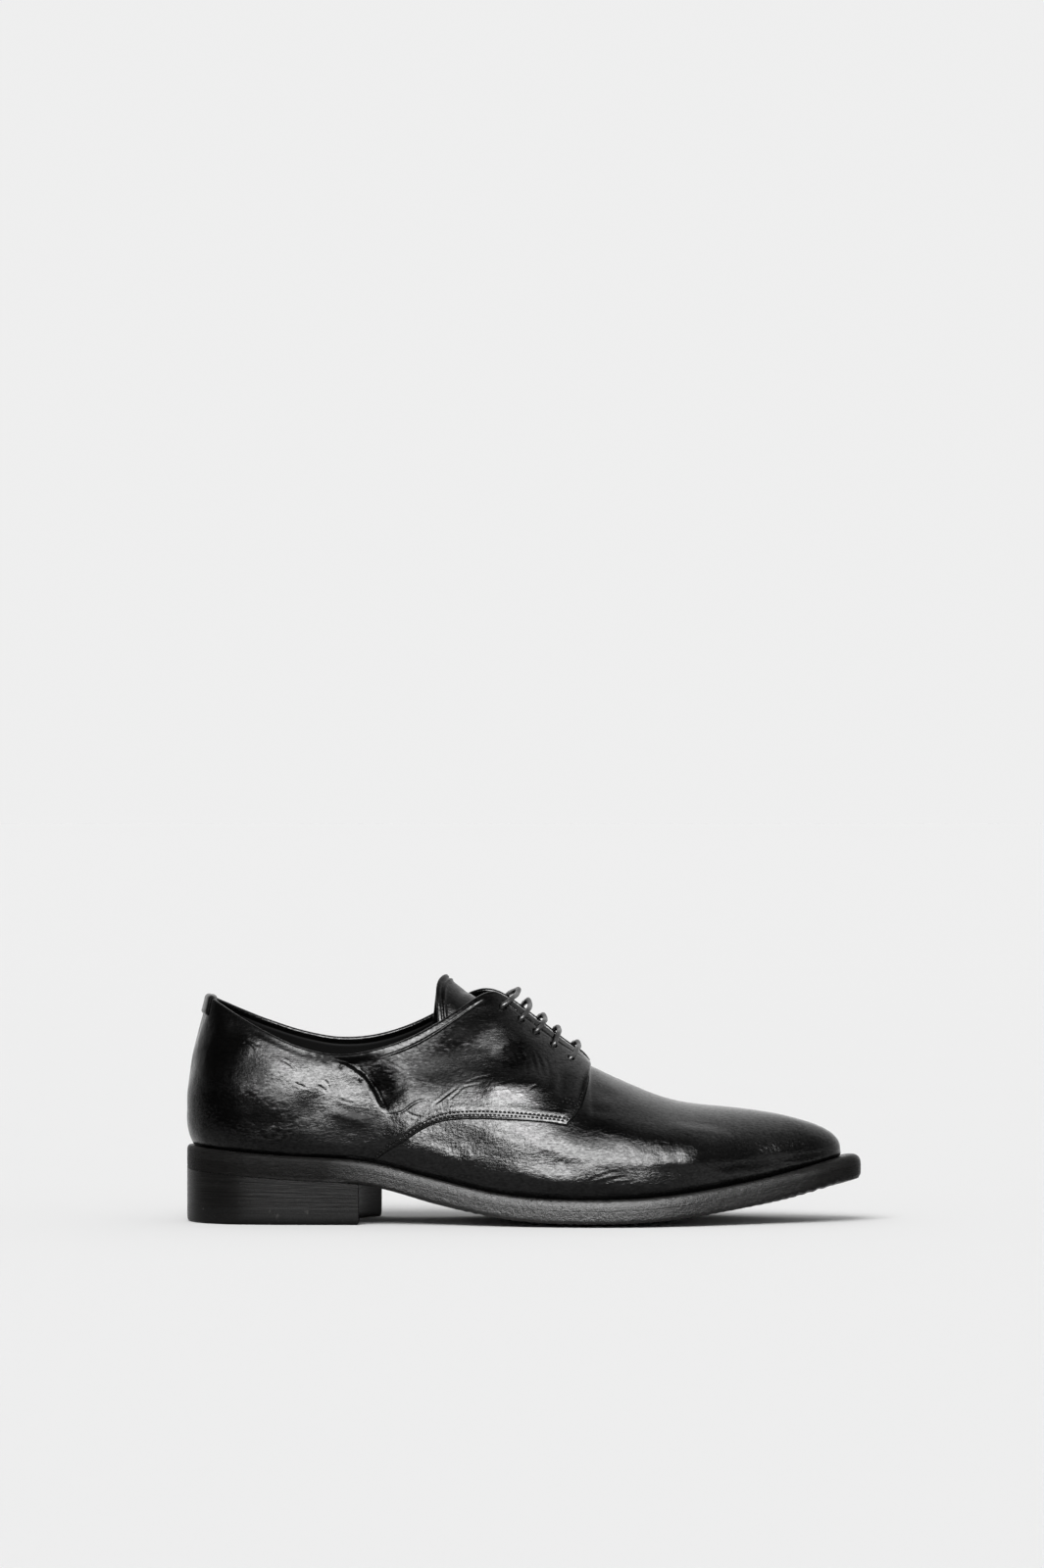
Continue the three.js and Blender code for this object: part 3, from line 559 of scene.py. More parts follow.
# Folds in the outer side's leather, in the full view's pixels.
QUARTER_STROKES = [
    # the main fold below the ankle: it drops behind the fold's line, then rises slowly
    ([(322, 1072), (338, 1080), (351, 1085), (361, 1091), (371, 1099), (377, 1108), (382, 1117), (387, 1128), (395, 1138)],
     -2.25, (4.0, 36), 0.03, 0.30, 0.2),
    ([(346, 1079), (358, 1086), (368, 1092), (376, 1099)], -0.13, 1.0, 0.04, 0.2, 0.3),
    ([(366, 1098), (373, 1105), (378, 1113), (382, 1122), (385, 1130)], -0.14, 1.0, 0.05, 0.2, 0.25),
    ([(373, 1099), (380, 1106), (386, 1113), (390, 1124), (396, 1133)], -0.16, 1.2, 0.06, 0.2, 0.25),
    # small bumps and dents that break up the fold's line
    ([(345, 1091), (350, 1086), (356, 1081)], 0.26, 2.0, 0, 0.3, 0.3),
    ([(356, 1096), (363, 1092), (369, 1086)], -0.22, 1.8, 0, 0.3, 0.3),
    ([(365, 1104), (371, 1099), (378, 1094)], 0.28, 2.1, 0, 0.3, 0.3),
    ([(373, 1112), (380, 1109), (388, 1104)], -0.24, 1.9, 0, 0.3, 0.3),
    ([(379, 1121), (385, 1118), (393, 1116)], 0.24, 2.0, 0, 0.3, 0.3),
    # short pleats under the top edge
    ([(337, 1073), (338, 1080)], -0.16, 1.2, 0.05, 0.2, 0.3),
    ([(349, 1073), (350, 1081)], -0.18, 1.3, 0.05, 0.2, 0.3),
    ([(357, 1072), (359, 1081)], -0.16, 1.1, 0.05, 0.2, 0.3),
    ([(365, 1071), (367, 1080)], -0.18, 1.3, 0.05, 0.2, 0.3),
    ([(372, 1070), (375, 1078)], -0.14, 1.1, 0.05, 0.2, 0.3),
    ([(380, 1069), (384, 1076)], -0.12, 1.2, 0.04, 0.2, 0.3),
    # fine wrinkles that spread from it
    ([(386, 1079), (395, 1083), (408, 1090), (418, 1095)], -0.07, 1.1, 0.05, 0.25, 0.35),
    ([(380, 1086), (391, 1089), (403, 1094)], -0.05, 1.0, 0.03, 0.25, 0.35),
    ([(383, 1093), (393, 1096), (406, 1099)], -0.06, 1.1, 0.03, 0.25, 0.35),
    ([(386, 1101), (396, 1104), (408, 1104)], -0.05, 1.0, 0.03, 0.25, 0.35),
    ([(390, 1109), (400, 1112), (413, 1109)], -0.06, 1.1, 0.03, 0.25, 0.35),
    ([(392, 1117), (402, 1119), (412, 1117)], -0.05, 1.0, 0.02, 0.25, 0.35),
    ([(399, 1076), (410, 1080), (422, 1086), (432, 1089)], -0.07, 1.1, 0.04, 0.25, 0.35),
    ([(418, 1096), (428, 1101), (440, 1103)], -0.08, 1.1, 0.04, 0.3, 0.35),
    # sharp crease rising from the fold's end towards the facing
    ([(394, 1137), (404, 1137), (412, 1134), (420, 1127), (428, 1123), (435, 1122), (442, 1127)], -0.13, 1.2, 0.04, 0.15, 0.2),
    ([(441, 1128), (448, 1124), (455, 1118), (463, 1112), (470, 1107)], -0.13, 1.2, 0.04, 0.2, 0.35),
    ([(458, 1123), (464, 1117), (472, 1111)], -0.07, 1.1, 0.03, 0.25, 0.35),
    ([(466, 1112), (480, 1107), (496, 1106)], -0.08, 1.1, 0.03, 0.25, 0.35),
    ([(474, 1105), (490, 1099), (506, 1098)], -0.08, 1.2, 0.03, 0.25, 0.35),
    ([(414, 1135), (424, 1139), (434, 1141)], -0.10, 1.2, 0.04, 0.2, 0.35),
    ([(400, 1128), (410, 1126), (420, 1121)], -0.10, 1.2, 0.04, 0.2, 0.35),
    # dents in the lower edge of the bulge behind the fold
    ([(286, 1082), (293, 1084), (299, 1089), (304, 1096)], -0.12, 1.2, 0.05, 0.3, 0.3),
    ([(322, 1108), (329, 1110), (334, 1116)], -0.16, 1.4, 0.06, 0.3, 0.3),
    ([(331, 1101), (335, 1107), (336, 1113)], -0.14, 1.2, 0.06, 0.3, 0.3),
    ([(298, 1104), (306, 1108), (314, 1111)], -0.10, 1.4, 0.05, 0.3, 0.3),
    ([(344, 1121), (352, 1124), (362, 1127)], -0.08, 1.4, 0.03, 0.3, 0.3),
    ([(330, 1130), (344, 1137), (360, 1142), (380, 1146)], 0.30, 5.0, 0, 0.3, 0.3),
    ([(252, 1060), (262, 1066), (272, 1068)], -0.09, 2.0, 0.03, 0.3, 0.3),
    ([(248, 1063), (256, 1068), (261, 1076)], -0.12, 1.8, 0.05, 0.3, 0.3),
    # broad forms: swelling behind the fold, ridge beyond it, hollow under the lacing
    ([(222, 1058), (262, 1079), (300, 1100), (338, 1111)], 1.5, 24, 0, 0.3, 0.25),
    ([(400, 1076), (419, 1092), (423, 1110)], 0.3, 11, 0, 0.3, 0.3),
    ([(398, 1094), (440, 1082), (480, 1074), (528, 1080), (560, 1094)], -1.1, 24, 0, 0.28, 0.28),
    ([(462, 1046), (486, 1060), (512, 1066)], -0.2, 12, 0, 0.3, 0.3),
    ([(506, 1064), (516, 1078), (522, 1094)], -0.35, 9, 0, 0.3, 0.3),
    ([(484, 1110), (530, 1105), (574, 1110)], 1.0, 16, 0, 0.3, 0.12),
    # pulled leather beside the lacing
    ([(524, 1066), (529, 1078), (531, 1090), (528, 1102)], -0.12, 1.4, 0.05, 0.25, 0.3),
    ([(533, 1070), (538, 1084), (537, 1100)], -0.14, 1.3, 0.06, 0.25, 0.3),
    ([(539, 1068), (545, 1082), (546, 1098)], -0.14, 1.4, 0.06, 0.25, 0.3),
    ([(547, 1072), (552, 1086), (553, 1100)], -0.13, 1.4, 0.06, 0.25, 0.3),
    ([(556, 1078), (560, 1090), (560, 1102)], -0.12, 1.4, 0.05, 0.25, 0.3),
    ([(540, 1094), (534, 1102), (525, 1108)], -0.10, 1.2, 0.05, 0.25, 0.3),
    ([(553, 1100), (548, 1108), (540, 1112)], -0.10, 1.2, 0.05, 0.25, 0.3),
    ([(499, 1110), (515, 1104), (534, 1102)], -0.05, 1.3, 0.02, 0.25, 0.3),
    ([(484, 1116), (500, 1112), (518, 1112)], -0.05, 1.2, 0.02, 0.25, 0.3),
    ([(455, 1070), (458, 1074), (457, 1079)], -0.14, 1.3, 0.06, 0.25, 0.3),
]
VAMP_STROKES = [
    ([(598, 1128), (610, 1134), (626, 1136)], -0.16, 4.0, 0.04, 0.3, 0.4),
    ([(604, 1106), (616, 1116), (636, 1122)], -0.18, 4.5, 0.05, 0.3, 0.4),
    ([(606, 1092), (622, 1100), (648, 1108)], -0.14, 5.0, 0.03, 0.3, 0.4),
    ([(624, 1128), (650, 1140), (676, 1146)], -0.12, 7.0, 0, 0.3, 0.4),
    ([(611, 1157), (617, 1160), (624, 1161)], -0.09, 1.2, 0.05, 0.2, 0.2),
    ([(664, 1166), (672, 1166), (680, 1168)], -0.08, 1.1, 0.04, 0.2, 0.2),
    ([(800, 1190), (804, 1187), (808, 1188)], -0.08, 1.1, 0.05, 0.2, 0.2),
    # widest place of the forefoot, and the flat above it
    ([(716, 1146), (712, 1172), (706, 1200)], 0.95, 27, 0, 0.2, 0.2),
    ([(596, 1150), (650, 1156), (700, 1162), (742, 1166)], 0.45, 16, 0, 0.3, 0.3),
    # swelling along the lower side
    ([(392, 1163), (440, 1176), (500, 1192), (560, 1204), (620, 1208)], 0.65, 16, 0, 0.15, 0.25),
    # bending wrinkles
    ([(686, 1164), (690, 1178), (692, 1194)], -0.035, 4.2, 0.01, 0.25, 0.3),
    ([(664, 1170), (676, 1182), (684, 1196)], -0.045, 3.0, 0.02, 0.25, 0.3),
    ([(646, 1176), (661, 1184), (672, 1188)], -0.05, 2.2, 0.03, 0.25, 0.3),
    ([(636, 1168), (646, 1178), (650, 1190)], -0.05, 2.8, 0.03, 0.25, 0.3),
    ([(700, 1174), (708, 1180), (722, 1182)], -0.03, 2.8, 0.01, 0.25, 0.3),
    ([(598, 1206), (614, 1199), (634, 1194)], -0.05, 1.4, 0.05, 0.25, 0.3),
    ([(610, 1208), (626, 1203), (642, 1200)], -0.05, 1.4, 0.04, 0.25, 0.3),
    ([(540, 1160), (556, 1168), (578, 1172)], -0.06, 2.6, 0.03, 0.3, 0.3),
    ([(500, 1150), (520, 1160), (540, 1164)], -0.06, 2.6, 0.03, 0.3, 0.3),
    ([(560, 1184), (590, 1188), (620, 1184)], -0.10, 4.0, 0.02, 0.3, 0.3),
    ([(436, 1160), (460, 1170), (480, 1184)], -0.12, 5.0, 0.02, 0.3, 0.3),
    ([(700, 1156), (716, 1160), (740, 1160)], -0.08, 4.0, 0, 0.3, 0.3),
]
# The inner side creases at much the same places, a little softer.
MEDIAL_QUARTER = [([(x + 7, y + 4) for x, y in pts], h * 0.75, w * 1.1, lip * 0.7, a, b)
                  for pts, h, w, lip, a, b in QUARTER_STROKES[1:30]] + [
    ([(470, 1084), (486, 1100), (496, 1122)], -0.3, 6.0, 0.06, 0.3, 0.3),
    ([(536, 1078), (541, 1092), (543, 1108)], -0.14, 2.6, 0.03, 0.2, 0.3),
]
MEDIAL_VAMP = [([(x + 5, y - 3) for x, y in pts], h * 0.9, w, lip, a, b)
               for pts, h, w, lip, a, b in VAMP_STROKES[:4] + VAMP_STROKES[9:16]]

_rng = np.random.default_rng(11)
_WAVES = [(_rng.uniform(0.12, 0.42), _rng.uniform(0, math.pi), _rng.uniform(0, 6.28)) for _ in range(14)]


_RIPPLES = [(_rng.uniform(0.45, 1.25), _rng.uniform(0, math.pi), _rng.uniform(0, 6.28)) for _ in range(22)]


def waviness(a, b):
    """Slight unevenness of stretched leather, about 1 at its highest."""
    total = 0
    for f, angle, phase in _WAVES:
        total = total + np.sin(f * (a * math.cos(angle) + b * math.sin(angle)) + phase) * 0.16 / (f + 0.1)
    small = 0
    for f, angle, phase in _RIPPLES:
        small = small + np.sin(f * (a * math.cos(angle) + b * math.sin(angle)) + phase
                               + 1.5 * math.sin(phase) * np.sin(0.11 * a + 0.07 * b)) * 0.06 / f
    return total / 1.6 + small * 0.55


def folds(p, side, lateral, medial):
    q = p.copy()
    if side > 0:
        q[..., 1] = -q[..., 1]
    px, row = seen(q)
    return stroke_field(px, row, lateral if side < 0 else medial)


def rise_per_t(s, side):
    return np.linalg.norm(outer(s, side, 1.0) - outer(s, side, 0.97), axis=-1) / 0.03


def top_t(s, side, down=1.0):
    return 1 - down / rise_per_t(s, side)


def lengths(p, axis):
    """Distance run along an axis of a grid of points, from its start."""
    d = np.linalg.norm(np.diff(p, axis=axis), axis=-1)
    zero = np.zeros_like(np.take(d, [0], axis=axis))
    return np.concatenate([zero, np.cumsum(d, axis=axis)], axis=axis)


def lace_holes(side):
    s, t = locate(LACES["holeX"], LACES["holeZ"], -1)
    return s, t


def seam_line(side):
    s, t = locate(*zip(*SEAM), side)
    t[0] = 0.0
    return s, t


def front_line(side):
    s, t = locate(*zip(*FRONT), side)
    return s, t


def quarter_patch(side, nu, nv):
    """s and t over the quarter: u from the heel to the front edge, v from the sole or the
    seam up to the rim."""
    s_seam, t_seam = seam_line(side)
    low_len = lengths(outer(np.linspace(0, s_seam[0], 60), side, 0.0), 0)[-1]
    seam_len = lengths(outer(s_seam, side, t_seam), 0)
    u0 = low_len / (low_len + seam_len[-1])
    u = spaced(nu, -0.4)
    u = 0.5 * u + 0.5 * np.linspace(0, 1, nu + 1)
    u[np.argmin(np.abs(u - u0))] = u0
    rows = {"k": seam_len / seam_len[-1], "s": s_seam, "t": t_seam}
    q = np.clip((u - u0) / (1 - u0), 0, 1)
    bottom_s = np.where(u < u0, s_seam[0] * u / u0, reader(rows, "k", "s")(q))
    bottom_t = np.where(u < u0, 0, np.maximum(0, reader(rows, "k", "t")(q)))
    top_s = bottom_s + (FRONT_S - bottom_s[-1]) * smooth(u, 0.55, 1.0)
    top_tt = top_t(top_s, side)
    fs, ft = front_line(side)
    fs = np.append(fs, FRONT_S)
    ft = np.append(ft, top_tt[-1])
    front_len = lengths(outer(fs, side, ft), 0)
    frows = {"k": front_len / front_len[-1], "s": fs, "t": ft}
    v = spaced(nv, 0.55)
    right_s, right_t = reader(frows, "k", "s")(v), reader(frows, "k", "t")(v)
    U, W = np.meshgrid(u, v, indexing="ij")

    def coons(bottom, top, left, right):
        return ((1 - W) * bottom[:, None] + W * top[:, None] + (1 - U) * left[None] + U * right[None]
                - ((1 - U) * (1 - W) * bottom[0] + U * (1 - W) * bottom[-1] + (1 - U) * W * top[0] + U * W * top[-1]))

    S = coons(bottom_s, top_s, np.zeros(nv + 1), right_s)
    T = coons(bottom_t, top_tt, v * top_tt[0], right_t)
    return U, W, u0, np.clip(S, 0, FRONT_S + 0.02), np.clip(T, 0, 1)


def boundary_skirt(mesh, base, raised, normal, side, turn=1.0, radius=0.5, fan=3):
    """Rounds an open edge over and down to the surface below it."""
    d = np.gradient(base, axis=0)
    d = unit(d)
    for _ in range(fan):
        pad = np.vstack([d[:1], d, d[-1:]])
        d = unit(pad[:-2] + pad[1:-1] + pad[2:])
    out = unit(-side * turn * np.cross(d, normal))
    rows = [raised]
    for a in (30, 60, 90):
        a = math.radians(a)
        rows.append(raised + out * radius * math.sin(a) - normal * radius * (1 - math.cos(a)))
    low = base + out * radius * 0.95
    rows.append((rows[-1] + low) / 2 + out * 0.03)
    rows.append(low + normal * 0.05)
    rows.append(base + out * radius * 0.6 - normal * 0.5)
    mesh.grid(np.stack(rows, 1), flip=(side * turn) > 0)


def make_quarter(side, nu, nv, name, material):
    U, W, u0, S, T = quarter_patch(side, nu, nv)
    P, N, UP = frame_at(S, side, T)
    from_bottom = lengths(P, 1)
    from_rim = from_bottom[:, -1:] - from_bottom
    run = lengths(P, 0)
    from_front = run[-1:] - run
    on_seam = smooth(U, u0, u0 + 0.10)
    h1 = 1.15 * on_seam * (1 - smooth(from_bottom, 2, 30))
    # the front edge rolls down towards the vamp over some 3 mm, most at half its height
    bow = np.sin(np.pi * np.clip((W - 0.03) / 1.0, 0, 1)) ** 0.9
    roll = 0.3 + 3.0 * bow
    turned = np.sqrt(np.clip(1 - (1 - np.clip(from_front / roll, 0, 1)) ** 2, 0, 1))
    front = 1.15 + 0.75 * bow - 0.4 * smooth(W, 0.85, 1)
    h2 = (0.55 + (front - 0.55) * turned) * (1 - smooth(from_front, 3.5, 22))
    h = (h1 ** 3 + h2 ** 3) ** (1 / 3)
    edge = np.minimum(np.where(U >= u0, from_bottom, 99), from_front)
    h = h - 0.22 * np.exp(-(edge / 0.9) ** 2) * np.minimum(1, h)
    channel = np.exp(-((edge - 1.5) / 0.42) ** 2) + np.exp(-((edge - 3.2) / 0.42) ** 2)
    seam_only = np.where(from_bottom < from_front, 1.0, 0.0) * on_seam
    h = h - 0.05 * channel * seam_only
    # swelling between the stitch rows and beyond them
    h = h + 0.10 * np.exp(-((edge - 5.4) / 1.5) ** 2) * on_seam
    # rolled top edge: a bead with a shallow groove under it, strongest towards the facing
    px, row = seen(P)
    band = smooth(px, 380, 412) * (1 - smooth(px, 484, 500))
    h = h - 0.42 * band * np.exp(-((from_rim - 3.3) / 0.6) ** 2) + 0.10 * band * np.exp(-((from_rim - 0.5) / 0.8) ** 2)
    # band along the lacing edge
    lacing = smooth(px, 512, 520) * (1 - smooth(px, 588, 596))
    h = h - 0.30 * lacing * np.exp(-((from_rim - 3.9) / 0.6) ** 2)
    h = h + folds(P, side, QUARTER_STROKES, MEDIAL_QUARTER) * smooth(from_rim, 0, 4)
    length = S * 14.0
    h = h + 0.16 * waviness(length, P[..., 2] * 1.3 + 40 * side) * smooth(from_rim, 0, 8) * smooth(edge, 0, 6)
    h = h * smooth(S, -0.01, 0.22) - 0.28 * np.exp(-(S / 0.05) ** 2)
    # lace holes
    hs, ht = lace_holes(side)
    for q in outer(hs, side, ht):
        d = np.linalg.norm(P - q, axis=-1)
        h = h - 1.1 * (1 - smooth(d, 0.7, 1.7)) + 0.14 * np.exp(-((d - 2.0) / 0.5) ** 2)
    R = P + N * h[..., None]
    mesh = Mesh()
    flip = side > 0
    mesh.grid(R, flip=flip)
    # rolled rim and the leather turned in under it
    r = EDGE_R
    centre = R[:, -1] - N[:, -1] * r
    cap = [R[:, -1]]
    for k in range(1, 9):
        a = math.pi * k / 8
        cap.append(centre + N[:, -1] * r * math.cos(a) + UP[:, -1] * r * math.sin(a))
    per = rise_per_t(S[:, -1], side)
    for down in (1.0, 2.5, 4.5, 7.0):
        p, n, _ = frame_at(S[:, -1], side, np.clip(T[:, -1] - down / per, 0, 1))
        cap.append(p - n * (WALL - 0.1) + (R[:, -1] - P[:, -1]) * max(0, 1 - down / 3))
    mesh.grid(np.stack(cap, 1), flip=flip)
    # seam edge from the sole to the corner, and the front edge
    i0 = int(np.argmin(np.abs(U[:, 0] - u0)))
    base = np.vstack([P[i0:, 0], P[-1, 1:]])
    raised = np.vstack([R[i0:, 0], R[-1, 1:]])
    normal = np.vstack([N[i0:, 0], N[-1, 1:]])
    boundary_skirt(mesh, base, raised, normal, side)
    # foot of the quarter, down to the sole
    foot = [R[: i0 + 2, 0], R[: i0 + 2, 0] - N[: i0 + 2, 0] * 0.35 - np.array([0, 0, 0.7])]
    mesh.grid(np.stack(foot, 1), flip=not flip)
    obj = mesh.build(name, material)
    return obj, dict(U=U, W=W, u0=u0, i0=i0, S=S, T=T, P=P, R=R, N=N, UP=UP, edge=edge, from_bottom=from_bottom,
                     from_front=from_front, from_rim=from_rim)


# ---- vamp: the front of the upper, under the quarters' seams ----
def make_vamp(name, material):
    mesh = Mesh()
    for side in (-1, 1):
        s_seam, t_seam = seam_line(side)
        fs, ft = front_line(side)
        s = np.concatenate([np.linspace(6.1, 11.0, 70)[:-1], np.linspace(11.0, 11.9, 26)[:-1],
                            np.linspace(11.9, THROAT_S, 27)[:-1], THROAT_S + (LAST_S - THROAT_S) * spaced(170, -0.2)])
        order = np.argsort(s_seam)
        covered = np.interp(s, np.concatenate([[6.0], s_seam[order], fs[1:], [12.5]]),
                            np.concatenate([[0], t_seam[order], ft[1:], [1.0]]))
        mm_t = np.linalg.norm(outer(s, side, 0.55) - outer(s, side, 0.5), axis=-1) / 0.05
        top = np.minimum(1, covered + 9.0 / mm_t)
        top = top + (1 - top) * smooth(s, 12.1, 12.28)
        top = np.where(s >= 12.28, 1.0, top)
        v = np.linspace(0, 1, 121)
        S = np.repeat(s[:, None], len(v), 1)
        T = top[:, None] * v[None]
        P, N, UP = frame_at(S, side, T)
        over = (T - covered[:, None]) * mm_t[:, None]
        hidden = (S < 12.3) * smooth(over, 0.6, 5)
        h = -0.9 * hidden
        h = h + folds(P, side, VAMP_STROKES, MEDIAL_VAMP) * (1 - hidden)
        h = h + 0.13 * waviness(P[..., 0], P[..., 2] * 1.2 + 30 * side) * (1 - hidden) * smooth(LAST_S - S, 0, 1.5) * \
            np.where(S >= THROAT_S, smooth(1 - T, 0, 0.35), 1)
        R = P + N * h[..., None]
        mesh.grid(R, flip=side > 0)
        k = s <= THROAT_S + 1e-9
        k = k & (s >= 12.1)
        cap = [R[k, -1]]
        r = 0.8
        centre = R[k, -1] - N[k, -1] * r
        for a in np.radians([30, 60, 90, 120, 150, 180]):
            cap.append(centre + N[k, -1] * r * math.cos(a) + UP[k, -1] * r * math.sin(a))
        mesh.grid(np.stack(cap, 1), flip=side > 0)
        foot = [R[:, 0], R[:, 0] - N[:, 0] * 0.35 - np.array([0, 0, 0.7])]
        mesh.grid(np.stack(foot, 1), flip=side < 0)
    return mesh.build(name, material, weld=0.03)


# ---- lining ----
def make_lining(name, material):
    mesh = Mesh()
    for side in (-1, 1):
        s = np.concatenate([np.linspace(0, 9, 60)[:-1], np.linspace(9, THROAT_S, 50)[:-1], np.linspace(THROAT_S, LAST_S, 50)])
        top = np.where(s < THROAT_S, top_t(s, side, 3.2), 1.0)
        top = np.where(s > 11.9, 1.0 - 0.02 * (s < THROAT_S), top)
        v = np.linspace(0, 1, 46)
        S = np.repeat(s[:, None], len(v), 1)
        T = top[:, None] * v[None]
        P, N, UP = frame_at(S, side, T)
        sunk = np.minimum(0, folds(P, side, QUARTER_STROKES, MEDIAL_QUARTER) + 0.5) * (S < 11)
        R = P - N * (2.42 - sunk[..., None])
        mid = np.where(S > 11.5, ridge_y(P[..., 0]), 0)
        R[..., 1] = np.where((S > 11.0) & (S < 21.0), mid + side * np.maximum(0.02, side * (R[..., 1] - mid)), R[..., 1])
        R[:, 0, 2] = top_z(R[:, 0, 0]) + GAP
        edge = P[:, -1] - N[:, -1] * 2.0
        mesh.grid(R, flip=side < 0)
        k = s < 11.9
        mesh.grid(np.stack([R[k, -1], (R[k, -1] + edge[k]) / 2 + UP[k, -1] * 0.15, edge[k]], 1), flip=side < 0)
    return mesh.build(name, material, weld=0.03)


# ---- tongue ----
TONGUE_ARC = 1.3
_ta = {c: reader(TONGUE, "s", c) for c in ("x", "z", "half", "drop", "backL", "backM")}


def tongue_at(q, w):
    a = w * TONGUE_ARC
    fall = (1 - np.cos(a)) / (1 - math.cos(TONGUE_ARC))
    # the visible tip stands a little further forward, with its sides swept back round it
    forward = 1.5 * np.exp(-(q / 0.5) ** 2) * np.exp(-(w / 0.25) ** 2)
    forward = forward - 1.5 * np.sin(np.pi * np.clip(-w * 1.1, 0, 1)) * np.exp(-(q / 1.5) ** 2)
    return xyz(_ta["x"](q) + forward - np.where(w < 0, _ta["backL"](q), _ta["backM"](q)) * np.sqrt(fall + 1e-9),
               _ta["half"](q) * np.sin(a) / math.sin(TONGUE_ARC) + 0.6,
               _ta["z"](q) - _ta["drop"](q) * fall)


def make_tongue(name, material):
    q = np.concatenate([np.linspace(0, 4.5, 70)[:-1], np.linspace(4.5, 8, 26)])
    w = np.linspace(-1, 1, 81)
    Q, Wd = np.meshgrid(q, w, indexing="ij")
    P = tongue_at(Q, Wd)
    e = 0.02
    along = tongue_at(np.minimum(8, Q + e), Wd) - tongue_at(np.maximum(0, Q - e), Wd)
    over = tongue_at(Q, Wd + e) - tongue_at(Q, Wd - e)
    N = unit(np.cross(along, over))
    back = unit(-along)
    dist = lengths(P, 0)
    wave = 0.14 * waviness(dist * 1.5 + 9, Wd * 26)
    # the lace has pressed soft furrows into the arch, and the tip has a small nick on its ridge
    for row in range(5):
        peak = np.array([LACES["peakX"][row], LACES["peakZ"][row]])
        d = np.hypot(P[..., 0] - peak[0], (P[..., 2] + _ta["drop"](Q) * 0) - peak[1] + 1.2)
        wave = wave - 0.12 * np.exp(-(d / 2.2) ** 2)
    wave = wave - 0.45 * np.exp(-((dist - 11.5) / 1.6) ** 2) * np.exp(-((Wd + 0.12) / 0.16) ** 2)
    wave = wave - 0.50 * np.exp(-((dist - 1.7) / 0.45) ** 2) + 0.50 * np.exp(-((dist - 3.0) / 0.75) ** 2)
    wave = wave - 0.18 * np.exp(-(((1 - np.abs(Wd)) * 22 - 2.2) / 0.5) ** 2)
    R = P + N * wave[..., None]
    half = TONGUE_T / 2 + 0.05
    mesh = Mesh()

    def loop(r, n, side_dir, size, shift):
        mid = r - n * half + shift
        ring = [mid[j] + n[j] * size for j in range(len(w))]
        for a in (30, 60, 90, 120, 150):
            a = math.radians(a)
            ring.append(mid[-1] + n[-1] * size * math.cos(a) + side_dir[-1] * size * math.sin(a))
        ring += [mid[j] - n[j] * size for j in range(len(w) - 1, -1, -1)]
        for a in (150, 120, 90, 60, 30):
            a = math.radians(a)
            ring.append(mid[0] + n[0] * size * math.cos(a) - side_dir[0] * size * math.sin(a))
        return np.array(ring)

    rings = []
    sides = unit(over)
    for a in (88, 65, 40, 20):
        a = math.radians(a)
        rings.append(loop(R[0], N[0], sides[0], half * math.cos(a), back[0] * half * math.sin(a)))
    for i in range(len(q)):
        rings.append(loop(R[i], N[i], sides[i], half, 0))
    mesh.grid(np.stack(rings), wrap_v=True, flip=True)
    return mesh.build(name, material)


# ---- laces: five bars of round cord, each running into its holes ----
def centripetal(points, per):
    pts = np.asarray(points, float)
    pts = np.vstack([2 * pts[0] - pts[1], pts, 2 * pts[-1] - pts[-2]])
    out = []
    for i in range(1, len(pts) - 2):
        p0, p1, p2, p3 = pts[i - 1:i + 3]
        d0, d1, d2 = (max(1e-4, np.linalg.norm(b - a) ** 0.5) for a, b in ((p0, p1), (p1, p2), (p2, p3)))
        m1 = ((p1 - p0) / d0 - (p2 - p0) / (d0 + d1) + (p2 - p1) / d1) * d1
        m2 = ((p2 - p1) / d1 - (p3 - p1) / (d1 + d2) + (p3 - p2) / d2) * d1
        for t in np.linspace(0, 1, per, endpoint=False):
            out.append(p1 * (2 * t ** 3 - 3 * t * t + 1) + m1 * (t ** 3 - 2 * t * t + t)
                       + p2 * (3 * t * t - 2 * t ** 3) + m2 * (t ** 3 - t * t))
    out.append(pts[-2])
    return np.array(out)


def resample(path, step):
    run = lengths(path, 0)
    n = max(4, int(round(run[-1] / step)))
    q = np.linspace(0, run[-1], n + 1)
    return np.stack([np.interp(q, run, path[:, c]) for c in range(3)], -1)


def tube(mesh, path, radius, around=14, twist=0.0, strands=3, depth=0.0):
    """Cord along a path; radius may vary along it, and strands wind round it."""
    tangent = unit(np.gradient(path, axis=0))
    n = np.array([0.0, 0.0, 1.0])
    run = lengths(path, 0)
    rings = []
    radius = np.broadcast_to(radius, (len(path),))
    for i, (p, t) in enumerate(zip(path, tangent)):
        n = n - t * np.dot(n, t)
        n = n / max(1e-6, np.linalg.norm(n))
        b = np.cross(t, n)
        a = np.linspace(0, 2 * np.pi, around, endpoint=False)
        turn = 2 * np.pi * run[i] / twist if twist else 0
        r = radius[i] * (1 - depth * (1 - np.abs(np.cos(strands / 2 * (a - turn))) ** 0.7))
        rings.append(p + (n * np.cos(a)[:, None] + b * np.sin(a)[:, None]) * r[:, None])
    mesh.grid(np.stack(rings), wrap_v=True)
    return rings


# how far each bar bows out of the straight line on the near side and on the far side, in mm
BOW_NEAR = (0.5, 1.1, 1.1, 0.6, 0.9)
BOW_FAR = (-1.9, -1.8, -1.6, -1.6, -1.5)


